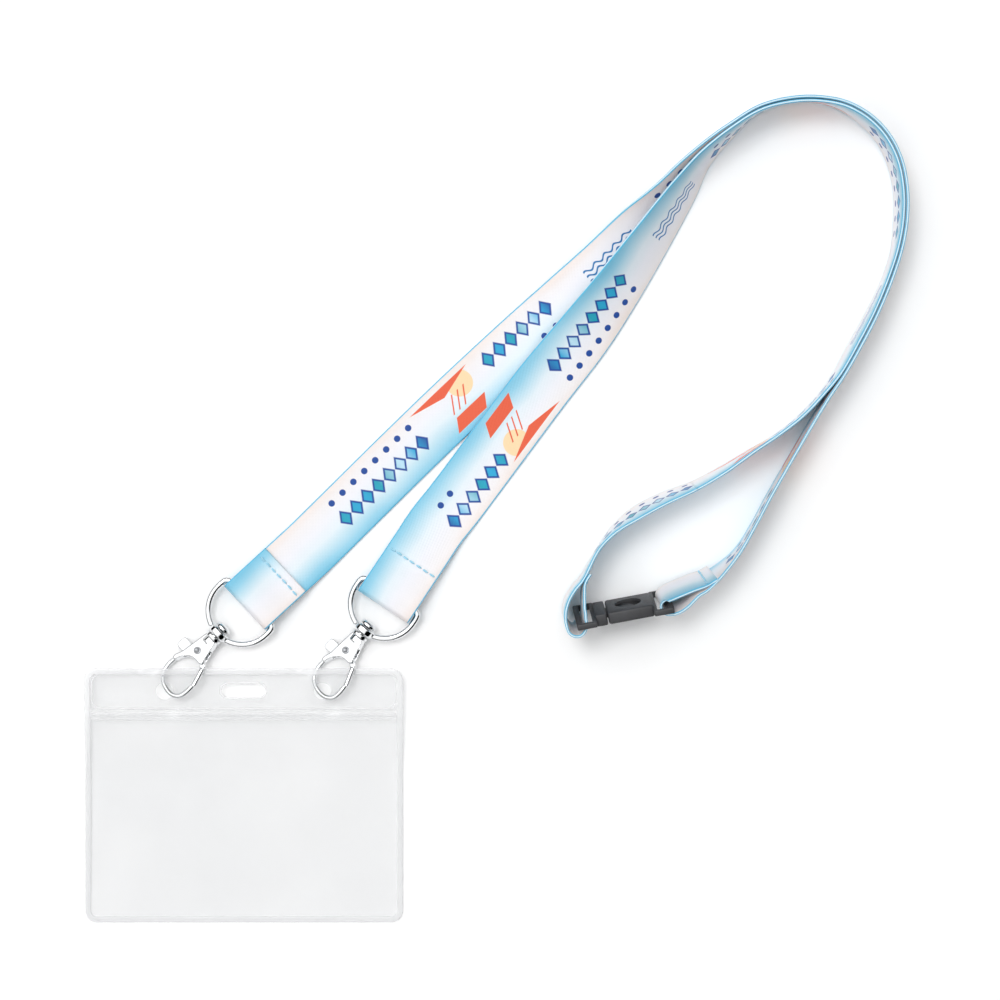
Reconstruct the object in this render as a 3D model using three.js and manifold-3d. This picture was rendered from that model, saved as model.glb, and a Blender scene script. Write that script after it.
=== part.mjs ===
// Lanyard badge holder: a clear card pocket carried by two swivel hooks on printed webbing
// straps, which run over the neck to a break-away buckle. It is laid out on a table, +Z up.
// All sizes are in millimetres. Layout places are in the table plane, before centring.
import * as THREE from 'three';
import { mergeVertices } from 'three/addons/utils/BufferGeometryUtils.js';
import Module from 'manifold-3d';

const wasm = await Module();
wasm.setup();

// ---- driving dimensions: webbing -------------------------------------------------
const STRAP_WIDTH = 20;
const STRAP_THICKNESS = 1.0;
const LAYER_GAP = 0.15; // between webbing and anything that it wraps or is sewn to
const PAIR_GAP = 0.3; // between the two straps where they lie face to face
const TABLE_GAP = 0.15;
const SEAM_FROM_SWIVEL = 27.4; // sewn row of a hook loop, from the swivel centre
const TAIL_FROM_SWIVEL = 30.5; // cut end of the tail of a hook loop
const THREAD_WIDTH = 0.5;
const THREAD_HEIGHT = 0.25;
const THREAD_GAP = 0.12;
const THREAD_MARGIN = 1.5; // from the strap edge to the end of a sewn row
const STEPS_PER_SPAN = 4;

// ---- driving dimensions: clear holder --------------------------------------------
const HOLDER = { width: 106, height: 84.8, corner: 4, centreX: -85.25, topY: -55.9 };
const SHEET = 0.3; // thickness of one vinyl sheet
const SHEET_GAP = 0.1; // between welded sheets
const HEADER_HEIGHT = 14; // strip with the holes
const MOUTH_GAP = 0.8; // from the header strip to the edge of the pocket sheet
const POCKET_RISE = 0.9; // how far the pocket sheet stands off the back sheet
const HOLE_RADIUS = 2.8;
const HOLE_PITCH = 52.5;
const HOLE_FROM_TOP = 7.6;
const SLOT = { length: 14.4, width: 4.2, fromTop: 7.4 };
const HEADER_LIFT = 3.07; // the hooks carry the header this high over the table
const RAMP = { from: -94, to: -64 }; // where the sheets rise to that height
const DIMPLE_SLOPE = 0.38; // the sheets twist round each hook wire
const DIMPLE_RADIUS = 11;
const POCKET_WELD = 3; // the pocket sheet lies flat this near to the holder's edges
const POCKET_PEAK = 0.8; // and stands off most at this share of the way to its mouth
const GRID = { fine: 1.6, rows: 5, coarse: 16, pocket: 8 }; // faces of the bent sheets

// ---- driving dimensions: hook and ring -------------------------------------------
const RING_WIRE = 2.1;
const RING_INNER_WIDTH = STRAP_WIDTH + 0.6;
const RING_BAR_AT = 14.6; // from the swivel centre to the straight bar
const RING_CORNER = 2;
const DRUM = { radius: 3.4, length: 2.7 };
const RIVET = { shaft: 1.3, headRadius: 2.8, headHeight: 1.5, headGap: 0.3, edge: 0.5 };
const RUNNING_GAP = 0.2; // round the rivet in the drum
const COLLAR = { radius: 3.05, length: 1.2, gap: 0.3, wireGap: 0.075 };
const NECK = { radius: 2.1, from: 0.5, to: 3.4 }; // behind the collar's bearing face
const RIVET_SOCKET = { gap: 0.15, depth: 3, filled: 2.8 };
const BODY_THICKNESS = 3.4;
const SLOT_THICKNESS = 1.9; // gap between the cheeks of the body
const LEVER_SLOT = { from: 6.2, to: 14.0 };
const LEVER_THICKNESS = 1.1;
const LEVER_GAP = 0.1; // to the cheek under it, and to the spring over it
const GATE_ARM = { radius: 0.85, u: 12.0, v: 5.55 };
const HOOK_WIRE = 1.7;
const PIN = {
  u: 9.0, v: 0.3, radius: 0.8, headRadius: 1.2, headHeight: 0.25, headGap: 0.05, edge: 0.1,
};
const PIN_GAP = { body: 0.1, gate: 0.15 };
const GATE_RADIUS = 11.7; // from the pin to the end of the gate
const NOSE = { gap: 0.3, u: 12, v: 5.6 }; // the hook's end faces the gate's end
const PAST = 5; // cutting tools reach this far past the hook, each way
const SPRING = { wire: 0.4, radius: 1.55, start: [6.6, -0.6], end: [9.8, 3.0], turns: [200, 480] };
const SWIVEL_HEIGHT = 4.12; // swivel centre over the table
const PITCH = 2.5; // degrees that hook and ring slope down towards the hook tip
const ROLL = 22; // degrees that the hook leans over on its thumb tab

// ---- driving dimensions: break-away buckle ---------------------------------------
const BUCKLE = { x: 40.6, y: -36.1, turn: 10.5, lean: 14 };
const LOOP_OPENING = STRAP_WIDTH + 1.2;
const LOOP_ARM = 1.3;
const LOOP_THICKNESS = 2.0;
const LOOP_BAR = 1.8;
const LOOP_LENGTH = 6.4;
const LOOP_FOOT = 1.0; // cross bar between loop and casing
const ROOTED = 0.3; // pieces of one moulding run this far into each other
const CASING_WIDTH = 16;
const CASING_THICKNESS = 4.1;
const CASING_EDGE = 0.4;
const COLLAR_LENGTH = 3.9;
const HOUSING_LENGTH = 15.2;
const CASING_GAP = 0.4;
const CASING_WALL = 0.95;
const CAVITY = { length: 12.6, width: 9.4 };
const TONGUE = { width: 6.4, head: 4.2, length: 9.2, gap: 0.3 };
const WINDOW = { alongRadius: 4.1, acrossRadius: 4.3, at: 7.4 };

// ---- layout ----------------------------------------------------------------------
// turn is the direction of the strap away from the hook, hookTurn the hook's own.
const CLIPS = {
  left: { x: -93.5, y: -44.0, turn: 43, hookTurn: 43, foldAt: 11.9, shift: 0, tailOnTop: true },
  right: { x: -45.1, y: -43.1, turn: 56.5, hookTurn: 50, foldAt: 9.7, shift: 1.0, tailOnTop: false },
};

// Centre lines of the straps by hand, clip to buckle: x, y and the lean of the webbing in
// degrees, 0 lying flat and 90 standing on its right edge.
const LEFT_RUN = [
  [-53.3, -6.0, 0], [-34.7, 12.4, 0], [-13.5, 32.9, 0], [6.0, 51.0, 0], [22.7, 65.9, 5],
  [36.9, 78.9, 14], [47.1, 90.1, 32], [55.6, 100.4, 56], [62.2, 109.0, 69], [69.0, 116.6, 79],
];
const RIGHT_RUN = [
  [-15.0, -1.0, 1], [0.6, 19.9, 5], [14.2, 38.0, 9], [26.9, 53.8, 20], [38.2, 69.1, 36],
  [48.9, 84.6, 49], [60.4, 101.9, 63], [67.4, 112.4, 76],
];
const SHARED_RUN = [
  [75.8, 121.6, 84], [85.3, 128.9, 92], [96.0, 132.2, 96], [105.0, 132.4, 96],
  [113.6, 130.2, 93], [121.0, 125.5, 90], [126.8, 119.2, 89], [130.6, 111.2, 88],
  [132.4, 102.0, 88], [132.4, 92.6, 88], [131.0, 82.4, 90], [127.6, 72.0, 90],
  [122.8, 61.4, 88], [117.2, 50.9, 87], [112.0, 41.5, 88],
];
const LEFT_RETURN = [
  [107.6, 33.2, 90], [102.7, 25.2, 90], [97.9, 17.0, 90], [93.2, 8.9, 90], [88.6, 0.8, 90],
  [83.8, -8.2, 90], [78.3, -17.0, 88],
];
const RIGHT_RETURN = [
  [106.3, 34.9, 90], [99.2, 27.4, 90], [91.4, 21.3, 90], [83.0, 16.0, 88], [73.8, 10.0, 85],
  [64.1, 4.6, 83], [53.6, 0.2, 80], [44.4, -4.8, 80], [37.2, -10.4, 86], [32.4, -16.4, 90],
];

// The loops at the buckle: places along and across its length, from its centre, and how far
// the webbing leans over there in degrees, where that differs from the buckle.
const LEFT_LOOP = [
  [28.3, 4.06], [24.5, 2.2], [20.6, -0.4], [17.7, -1.65], [15.3, -1.85], [13.55, -1.35],
  [12.8, -0.1], [13.1, 1.3], [14.4, 2.3], [16.6, 3.0], [19.8, 3.7], [23.9, 4.55],
  [27.9, 5.2], [31.2, 6.4],
];
const RIGHT_LOOP = [
  [-11.83, 12.28, 3], [-14.6, 9.9, 3], [-17.2, 7.0, 4], [-18.9, 3.6, 6], [-19.2, 0.0, 9],
  [-18.0, -2.8, 12], [-15.9, -3.4], [-14.0, -1.9], [-13.1, 1.0], [-12.6, 4.6, 11],
  [-11.9, 8.2, 6], [-10.9, 11.5, 3], [-8.9, 13.9, 3],
];
const LEFT_SEAM = 12; // place in the loop list where the tail is sewn down
const RIGHT_SEAM = 11;

// ---- small tools -----------------------------------------------------------------
const radians = THREE.MathUtils.degToRad;
const vector = (x, y, z) => new THREE.Vector3(x, y, z);
const UP = vector(0, 0, 1);

function solidOf(geometry) {
  const bare = geometry.clone();
  bare.deleteAttribute('normal');
  bare.deleteAttribute('uv');
  const merged = mergeVertices(bare, 1e-5);
  return new wasm.Manifold(new wasm.Mesh({
    numProp: 3,
    vertProperties: new Float32Array(merged.attributes.position.array),
    triVerts: new Uint32Array(merged.index.array),
  }));
}

function geometryOf(solid) {
  const mesh = solid.getMesh();
  const geometry = new THREE.BufferGeometry();
  geometry.setAttribute('position', new THREE.BufferAttribute(mesh.vertProperties, 3));
  geometry.setIndex(new THREE.BufferAttribute(mesh.triVerts, 1));
  geometry.computeVertexNormals();
  return geometry;
}

// A block between two corners.
function block(low, high) {
  const size = high.map((value, i) => value - low[i]);
  const geometry = new THREE.BoxGeometry(...size);
  geometry.translate(...low.map((value, i) => value + size[i] / 2));
  return solidOf(geometry);
}

// A round rod between two points.
function rod(radius, from, to, sides = 32) {
  const start = vector(...from);
  const end = vector(...to);
  const geometry = new THREE.CylinderGeometry(radius, radius, start.distanceTo(end), sides);
  geometry.applyQuaternion(new THREE.Quaternion().setFromUnitVectors(
    vector(0, 1, 0), end.clone().sub(start).normalize()));
  geometry.translate(...start.add(end).multiplyScalar(0.5).toArray());
  return solidOf(geometry);
}

function circle(radius, sides) {
  const shape = new THREE.Shape();
  for (let i = 0; i < sides; i += 1) {
    const angle = (2 * Math.PI * i) / sides;
    const at = [radius * Math.cos(angle), radius * Math.sin(angle)];
    if (i) shape.lineTo(...at);
    else shape.moveTo(...at);
  }
  shape.closePath();
  return shape;
}

// A wire along a curve.
function wire(curve, diameter, steps, sides = 12) {
  return solidOf(new THREE.ExtrudeGeometry(circle(diameter / 2, sides), {
    steps, extrudePath: curve, curveSegments: 1,
  }));
}

// A plate of an outline, centred on its own thickness.
function plate(shape, thickness, bevel = 0) {
  const geometry = new THREE.ExtrudeGeometry(shape, {
    depth: thickness - 2 * bevel,
    bevelEnabled: bevel > 0,
    bevelThickness: bevel,
    bevelSize: bevel,
    bevelOffset: -bevel,
    bevelSegments: 1,
    curveSegments: 6,
  });
  geometry.translate(0, 0, bevel - thickness / 2);
  return solidOf(geometry);
}

function union(parts) {
  return parts.reduce((whole, part) => whole.add(part));
}

// ---- materials -------------------------------------------------------------------
const finish = (color, roughness, metalness, more = {}) => new THREE.MeshStandardMaterial({
  color, roughness, metalness, ...more,
});
const MATERIALS = {
  vinyl: () => finish(0xf2f4f5, 0.25, 0, { transparent: true, opacity: 0.45 }),
  webbing: () => finish(0xdff1fb, 0.75, 0),
  thread: () => finish(0x8fd2ee, 0.8, 0),
  chrome: () => finish(0xd9dadc, 0.12, 1),
  steel: () => finish(0xb4b6b8, 0.3, 1),
  plastic: () => finish(0x2b2b2d, 0.55, 0),
};

const object = new THREE.Group();
object.name = 'lanyard_badge_holder';

function addMesh(parent, name, geometry, material) {
  const mesh = new THREE.Mesh(geometry, MATERIALS[material]());
  mesh.name = name;
  parent.add(mesh);
  return mesh;
}

// ---- clear holder ----------------------------------------------------------------
const holderLeft = HOLDER.centreX - HOLDER.width / 2;
const holderRight = HOLDER.centreX + HOLDER.width / 2;
const holderBottom = HOLDER.topY - HOLDER.height;
const mouthY = HOLDER.topY - HEADER_HEIGHT - MOUTH_GAP;
const holes = [-1, 1].map((side) => ({
  x: HOLDER.centreX + (side * HOLE_PITCH) / 2,
  y: HOLDER.topY - HOLE_FROM_TOP,
  clip: side < 0 ? CLIPS.left : CLIPS.right,
}));

// Height of the face between the two sheets: flat pocket, ramp, lifted header, dimples.
function holderHeight(x, y) {
  const ramp = THREE.MathUtils.smoothstep(y, RAMP.from, RAMP.to);
  let height = SHEET + SHEET_GAP / 2 + ramp * HEADER_LIFT;
  for (const hole of holes) {
    const turn = radians(hole.clip.hookTurn);
    const across = (x - hole.x) * Math.sin(turn) - (y - hole.y) * Math.cos(turn);
    const near = Math.hypot(x - hole.x, y - hole.y) / DIMPLE_RADIUS;
    if (near < 1) height -= DIMPLE_SLOPE * across * (1 - near * near) ** 2;
  }
  return height;
}

// The pocket sheet stands off the back sheet, most at its mouth.
function pocketRise(x, y) {
  const side = Math.min(1, Math.abs(x - HOLDER.centreX) / (HOLDER.width / 2 - POCKET_WELD));
  const welded = holderBottom + POCKET_WELD;
  const up = THREE.MathUtils.clamp((y - welded) / (mouthY - welded), 0, 1);
  return POCKET_RISE * (1 - side ** 4) * Math.sin(((up / POCKET_PEAK) * Math.PI) / 2);
}

function holderOutline() {
  const { corner } = HOLDER;
  const shape = new THREE.Shape();
  shape.moveTo(holderLeft + corner, holderBottom);
  shape.lineTo(holderRight - corner, holderBottom);
  shape.absarc(holderRight - corner, holderBottom + corner, corner, -Math.PI / 2, 0);
  shape.lineTo(holderRight, HOLDER.topY - corner);
  shape.absarc(holderRight - corner, HOLDER.topY - corner, corner, 0, Math.PI / 2);
  shape.lineTo(holderLeft + corner, HOLDER.topY);
  shape.absarc(holderLeft + corner, HOLDER.topY - corner, corner, Math.PI / 2, Math.PI);
  shape.lineTo(holderLeft, holderBottom + corner);
  shape.absarc(holderLeft + corner, holderBottom + corner, corner, Math.PI, 1.5 * Math.PI);
  return shape;
}

const CUT_DEPTH = 20; // cutting tools reach this far over and under the bent sheets

function holderCuts() {
  const slotY = HOLDER.topY - SLOT.fromTop;
  const reach = (SLOT.length - SLOT.width) / 2;
  const ends = [-reach, reach].map((dx) => rod(SLOT.width / 2,
    [HOLDER.centreX + dx, slotY, -CUT_DEPTH], [HOLDER.centreX + dx, slotY, CUT_DEPTH], 24));
  const middle = block(
    [HOLDER.centreX - reach, slotY - SLOT.width / 2, -CUT_DEPTH],
    [HOLDER.centreX + reach, slotY + SLOT.width / 2, CUT_DEPTH]);
  const round = holes.map((hole) => rod(HOLE_RADIUS,
    [hole.x, hole.y, -CUT_DEPTH], [hole.x, hole.y, CUT_DEPTH], 24));
  return union([...ends, middle, ...round]);
}

// Grid lines between two ends: close together inside the fine ranges, far apart elsewhere.
function gridLines(low, high, fineRanges, fineStep, coarseStep) {
  const inFine = (at) => fineRanges.some(([from, to]) => at >= from && at < to);
  const lines = [low];
  let at = low;
  while (at < high) {
    at += inFine(at) ? fineStep : coarseStep;
    const next = fineRanges.find(([from]) => lines.at(-1) < from && at > from);
    if (next) [at] = next;
    lines.push(Math.min(at, high));
  }
  return lines;
}

const dimples = holes.map((hole) => [hole.x - DIMPLE_RADIUS, hole.x + DIMPLE_RADIUS]);
const dimpleRow = [holes[0].y - DIMPLE_RADIUS, HOLDER.topY];

// One sheet of the holder: a grid bent to height(x, y), trimmed to the outline and holes.
function holderSheet(lowY, highY, height, coarse = GRID.coarse) {
  const columns = gridLines(holderLeft, holderRight, dimples, GRID.fine, coarse);
  const rows = gridLines(lowY, highY, [dimpleRow], GRID.fine, GRID.rows);
  const geometry = new THREE.BoxGeometry(
    1, 1, SHEET, columns.length - 1, rows.length - 1, 1);
  const place = geometry.attributes.position;
  for (let i = 0; i < place.count; i += 1) {
    const x = columns[Math.round((place.getX(i) + 0.5) * (columns.length - 1))];
    const y = rows[Math.round((place.getY(i) + 0.5) * (rows.length - 1))];
    place.setXYZ(i, x, y, place.getZ(i) + height(x, y));
  }
  const outline = plate(holderOutline(), 2 * CUT_DEPTH);
  return geometryOf(solidOf(geometry).intersect(outline).subtract(holderCuts()));
}

const half = (SHEET + SHEET_GAP) / 2;
const backHeight = (x, y) => holderHeight(x, y) - half;
const frontHeight = (x, y) => holderHeight(x, y) + half;
const pocketHeight = (x, y) => frontHeight(x, y) + pocketRise(x, y);
addMesh(object, 'holder_back_sheet',
  holderSheet(holderBottom, HOLDER.topY, backHeight), 'vinyl');
addMesh(object, 'holder_header_strip',
  holderSheet(HOLDER.topY - HEADER_HEIGHT, HOLDER.topY, frontHeight), 'vinyl');
addMesh(object, 'holder_pocket_sheet',
  holderSheet(holderBottom, mouthY, pocketHeight, GRID.pocket), 'vinyl');

// ---- ring and hook ---------------------------------------------------------------
const ringHalf = (RING_INNER_WIDTH + RING_WIRE) / 2;

// The D ring: a straight bar for the strap, and a bow through the swivel drum.
function ringGeometry(hookTurnFromRing, shift) {
  const bowCentre = hookStart - COLLAR.wireGap - RING_WIRE / 2 - ringHalf;
  const points = [];
  const bowSteps = 12;
  for (let i = 0; i <= bowSteps; i += 1) {
    const angle = -Math.PI / 2 + (Math.PI * i) / bowSteps;
    points.push([bowCentre + ringHalf * Math.cos(angle), ringHalf * Math.sin(angle)]);
  }
  const cornerAt = [-RING_BAR_AT + RING_CORNER, ringHalf - RING_CORNER];
  const cornerTurns = [30, 60, 90];
  for (const turn of cornerTurns) {
    points.push([cornerAt[0] - RING_CORNER * Math.sin(radians(turn)),
      cornerAt[1] + RING_CORNER * Math.cos(radians(turn))]);
  }
  for (const across of [4, 0, -4]) points.push([-RING_BAR_AT, across]);
  for (const turn of [...cornerTurns].reverse()) {
    points.push([cornerAt[0] - RING_CORNER * Math.sin(radians(turn)),
      -cornerAt[1] - RING_CORNER * Math.cos(radians(turn))]);
  }
  const path = points.map(([u, v]) => vector(u, v + shift, 0));
  const closed = new THREE.CatmullRomCurve3(path, true, 'centripetal');
  const bow = closedWire(closed, RING_WIRE, 60, 10);
  const axis = vector(1, 0, 0).applyAxisAngle(UP, hookTurnFromRing);
  const along = (u) => axis.clone().multiplyScalar(u).toArray();
  const drum = rod(DRUM.radius, along(-DRUM.length / 2), along(DRUM.length / 2));
  const bore = rod(RIVET.shaft + RUNNING_GAP, along(-DRUM.length), along(DRUM.length), 24);
  return geometryOf(bow.add(drum).subtract(bore));
}

// A wire that closes on itself: a grid of sections round the curve, all in one plane.
function closedWire(curve, diameter, steps, sides) {
  const positions = [];
  const index = [];
  for (let i = 0; i < steps; i += 1) {
    const centre = curve.getPointAt(i / steps);
    const out = curve.getTangentAt(i / steps).cross(UP).normalize();
    for (let j = 0; j < sides; j += 1) {
      const angle = (2 * Math.PI * j) / sides;
      positions.push(...centre.clone()
        .addScaledVector(out, (Math.cos(angle) * diameter) / 2)
        .addScaledVector(UP, (Math.sin(angle) * diameter) / 2).toArray());
      const next = ((i + 1) % steps) * sides;
      const side = (j + 1) % sides;
      const a = i * sides + j;
      const b = i * sides + side;
      index.push(a, next + j, b, b, next + j, next + side);
    }
  }
  const geometry = new THREE.BufferGeometry();
  geometry.setAttribute('position', new THREE.Float32BufferAttribute(positions, 3));
  geometry.setIndex(index);
  return solidOf(geometry);
}

function outlineOf(points) {
  const shape = new THREE.Shape();
  shape.moveTo(...points[0]);
  for (const point of points.slice(1)) shape.lineTo(...point);
  shape.closePath();
  return shape;
}

const hookStart = DRUM.length / 2 + COLLAR.gap; // the collar face that bears on the drum
const gateTip = [17.6, 7.75];
const acrossPin = [[PIN.u, PIN.v, -PAST], [PIN.u, PIN.v, PAST]];

// The hook body: collar, two cheeks and the bent wire round to the nose.
function hookGeometry() {
  const cheeks = plate(outlineOf([
    [hookStart + COLLAR.length - ROOTED, -2.2], [12.9, -3.5], [15.6, -4.5], [16.8, -4.3],
    [16.8, -3.1], [15.0, -2.6], [13.0, -1.2], [11.7, 0.8], [11.6, 3.9], [10.9, 4.7],
    [9.6, 4.3], [hookStart + COLLAR.length - ROOTED, 2.4],
  ]), BODY_THICKNESS, 0.35);
  const bend = new THREE.CatmullRomCurve3([
    vector(14.6, -3.6, 0), vector(17.2, -3.95, 0), vector(20.0, -3.9, 0),
    vector(22.8, -2.9, 0), vector(24.6, -0.9, 0), vector(25.4, 1.8, 0),
    vector(25.2, 4.8, 0), vector(23.6, 7.0, 0), vector(21.0, 7.7, 0), vector(17.6, 7.6, 0),
  ], false, 'centripetal');
  const collar = rod(COLLAR.radius, [hookStart, 0, 0], [hookStart + COLLAR.length, 0, 0]);
  const neck = rod(NECK.radius, [hookStart + NECK.from, 0, 0], [hookStart + NECK.to, 0, 0]);
  const slot = block([LEVER_SLOT.from, -2 * PAST, -SLOT_THICKNESS / 2],
    [LEVER_SLOT.to, 2 * PAST, SLOT_THICKNESS / 2]);
  const nose = rod(GATE_RADIUS + NOSE.gap, ...acrossPin, 96)
    .intersect(block([NOSE.u, NOSE.v, -PAST], [6 * PAST, 2 * PAST, PAST]));
  const pinHole = rod(PIN.radius + PIN_GAP.body, ...acrossPin, 24);
  const rivetHole = rod(RIVET.shaft + RIVET_SOCKET.gap,
    [0, 0, 0], [hookStart + RIVET_SOCKET.depth, 0, 0], 24);
  return geometryOf(union([cheeks.subtract(slot), wire(bend, HOOK_WIRE, 40), collar, neck])
    .subtract(nose).subtract(pinHole).subtract(rivetHole));
}

// The swivel rivet: its head bears inside the ring, its shaft ends in the collar.
function rivetGeometry() {
  const headFrom = -DRUM.length / 2 - RIVET.headGap;
  const headBack = headFrom - RIVET.headHeight;
  const profile = [
    [0, headBack], [RIVET.headRadius - RIVET.edge, headBack],
    [RIVET.headRadius, headBack + RIVET.edge], [RIVET.headRadius, headFrom],
    [RIVET.shaft, headFrom], [RIVET.shaft, hookStart + RIVET_SOCKET.filled],
    [0, hookStart + RIVET_SOCKET.filled],
  ].map(([r, u]) => new THREE.Vector2(r, u));
  const geometry = new THREE.LatheGeometry(profile, 28);
  geometry.rotateZ(-Math.PI / 2);
  return geometryOf(solidOf(geometry));
}

const leverLow = -SLOT_THICKNESS / 2 + LEVER_GAP;
const leverMiddle = leverLow + LEVER_THICKNESS / 2;

// The gate lever: thumb tab on one side of the pin, gate arm on the other.
function gateGeometry() {
  const lever = plate(outlineOf([
    [9.0, -1.6], [9.5, -3.4], [9.3, -6.4], [9.9, -7.3], [12.6, -7.4], [13.4, -6.7],
    [13.3, -3.9], [12.2, -1.8], [11.3, 0.6], [11.4, 3.6], [12.6, 4.8], [12.6, 6.4],
    [10.6, 5.6], [8.6, 2.6], [7.1, 1.3], [6.9, -0.4], [7.6, -1.4],
  ]), LEVER_THICKNESS).translate(0, 0, leverMiddle);
  const arm = rod(GATE_ARM.radius, [GATE_ARM.u, GATE_ARM.v, leverMiddle],
    [gateTip[0] + 1, gateTip[1] + 0.4, 0], 16);
  const reach = rod(GATE_RADIUS, ...acrossPin, 96);
  const hole = rod(PIN.radius + PIN_GAP.gate, ...acrossPin, 24);
  return geometryOf(lever.add(arm).intersect(reach).subtract(hole));
}

function pinGeometry() {
  const face = BODY_THICKNESS / 2;
  const under = face + PIN.headGap;
  const top = under + PIN.headHeight;
  const profile = [
    [0, -face], [PIN.radius, -face], [PIN.radius, under], [PIN.headRadius, under],
    [PIN.headRadius, top - PIN.edge], [PIN.headRadius - PIN.edge, top], [0, top],
  ].map(([r, w]) => new THREE.Vector2(r, w));
  const geometry = new THREE.LatheGeometry(profile, 24);
  geometry.rotateX(Math.PI / 2);
  geometry.translate(PIN.u, PIN.v, 0);
  return geometryOf(solidOf(geometry));
}

// The gate spring: one flat turn round the pin with a leg back into the body.
function springGeometry() {
  const w = leverLow + LEVER_THICKNESS + LEVER_GAP + SPRING.wire / 2;
  const points = [vector(...SPRING.start, w)];
  for (let turn = SPRING.turns[0]; turn <= SPRING.turns[1]; turn += 28) {
    points.push(vector(PIN.u + SPRING.radius * Math.cos(radians(turn)),
      PIN.v + SPRING.radius * Math.sin(radians(turn)), w));
  }
  points.push(vector(...SPRING.end, w));
  const path = new THREE.CatmullRomCurve3(points, false, 'centripetal');
  return geometryOf(wire(path, SPRING.wire, 30, 6));
}

function frameAt(parent, x, y, z, roll, pitch, turn) {
  const group = new THREE.Group();
  group.position.set(x, y, z);
  group.rotation.set(radians(roll), radians(pitch), radians(turn), 'ZYX');
  parent.add(group);
  return group;
}

for (const [side, clip] of Object.entries(CLIPS)) {
  const ringFrame = frameAt(object, clip.x, clip.y, SWIVEL_HEIGHT, 0, PITCH, clip.turn + 180);
  addMesh(ringFrame, `d_ring_${side}`,
    ringGeometry(radians(clip.hookTurn - clip.turn), clip.shift), 'chrome');
  const hookFrame = frameAt(
    object, clip.x, clip.y, SWIVEL_HEIGHT, ROLL, PITCH, clip.hookTurn + 180);
  addMesh(hookFrame, `swivel_rivet_${side}`, rivetGeometry(), 'chrome');
  addMesh(hookFrame, `hook_body_${side}`, hookGeometry(), 'chrome');
  addMesh(hookFrame, `gate_lever_${side}`, gateGeometry(), 'chrome');
  addMesh(hookFrame, `gate_pin_${side}`, pinGeometry(), 'steel');
  addMesh(hookFrame, `gate_spring_${side}`, springGeometry(), 'steel');
}

// ---- break-away buckle -----------------------------------------------------------
const buckleLength = 2 * LOOP_LENGTH + COLLAR_LENGTH + CASING_GAP + HOUSING_LENGTH;
const buckleLeft = -buckleLength / 2;
const housingLeft = buckleLeft + LOOP_LENGTH + COLLAR_LENGTH + CASING_GAP;
const housingRight = housingLeft + HOUSING_LENGTH;
const loopHalf = LOOP_OPENING / 2 + LOOP_ARM;
const leanSine = Math.sin(radians(BUCKLE.lean));
const leanCosine = Math.cos(radians(BUCKLE.lean));
const buckleZ = TABLE_GAP + loopHalf * leanCosine + (LOOP_THICKNESS / 2) * leanSine;

// A strap loop: a square frame from its foot at `from` to its bar at `to`.
function strapLoop(from, to) {
  const t = LOOP_THICKNESS / 2;
  const way = Math.sign(to - from);
  const outer = [from - way * ROOTED, to].sort((a, b) => a - b);
  const inner = [from + way * LOOP_FOOT, to - way * LOOP_BAR].sort((a, b) => a - b);
  return block([outer[0], -t, -loopHalf], [outer[1], t, loopHalf])
    .subtract(block([inner[0], -PAST, -LOOP_OPENING / 2], [inner[1], PAST, LOOP_OPENING / 2]));
}

function casing(from, to) {
  const shape = new THREE.Shape();
  const t = CASING_THICKNESS / 2;
  shape.moveTo(from, -t);
  shape.lineTo(to, -t);
  shape.lineTo(to, t);
  shape.lineTo(from, t);
  shape.closePath();
  return plate(shape, CASING_WIDTH, CASING_EDGE);
}

function maleGeometry() {
  const collarEnd = housingLeft - CASING_GAP;
  const tip = housingLeft + TONGUE.length;
  const t = CASING_THICKNESS / 2 - CASING_WALL - TONGUE.gap;
  const headAt = tip - TONGUE.head;
  return geometryOf(union([
    strapLoop(buckleLeft + LOOP_LENGTH, buckleLeft),
    casing(buckleLeft + LOOP_LENGTH, collarEnd),
    block([collarEnd - ROOTED, -t, -TONGUE.width / 2], [headAt, t, TONGUE.width / 2]),
    rod(TONGUE.head, [headAt, -t, 0], [headAt, t, 0]),
  ]));
}

function femaleGeometry() {
  const t = CASING_THICKNESS / 2 - CASING_WALL;
  const cavity = block(
    [housingLeft - CASING_WALL, -t, -CAVITY.width / 2], [housingLeft + CAVITY.length, t, CAVITY.width / 2]);
  const windowCut = new THREE.CylinderGeometry(1, 1, PAST, 32);
  windowCut.scale(WINDOW.alongRadius, 1, WINDOW.acrossRadius);
  windowCut.translate(housingLeft + WINDOW.at, PAST / 2, 0);
  return geometryOf(union([
    casing(housingLeft, housingRight),
    strapLoop(housingRight, -buckleLeft),
  ]).subtract(cavity).subtract(solidOf(windowCut)));
}

const buckleFrame = frameAt(
  object, BUCKLE.x, BUCKLE.y, buckleZ, BUCKLE.lean, 0, BUCKLE.turn);
addMesh(buckleFrame, 'buckle_male', maleGeometry(), 'plastic');
addMesh(buckleFrame, 'buckle_female', femaleGeometry(), 'plastic');

// ---- straps ----------------------------------------------------------------------
const layerHalf = (STRAP_THICKNESS + LAYER_GAP) / 2;
const wrapRadius = RING_WIRE / 2 + LAYER_GAP + STRAP_THICKNESS / 2;

// Height of webbing that leans by `lean` and touches the table with its lower edge.
function leanHeight(lean) {
  return (STRAP_WIDTH / 2) * Math.sin(lean) + (STRAP_THICKNESS / 2) * Math.abs(Math.cos(lean))
    + TABLE_GAP;
}

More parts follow.
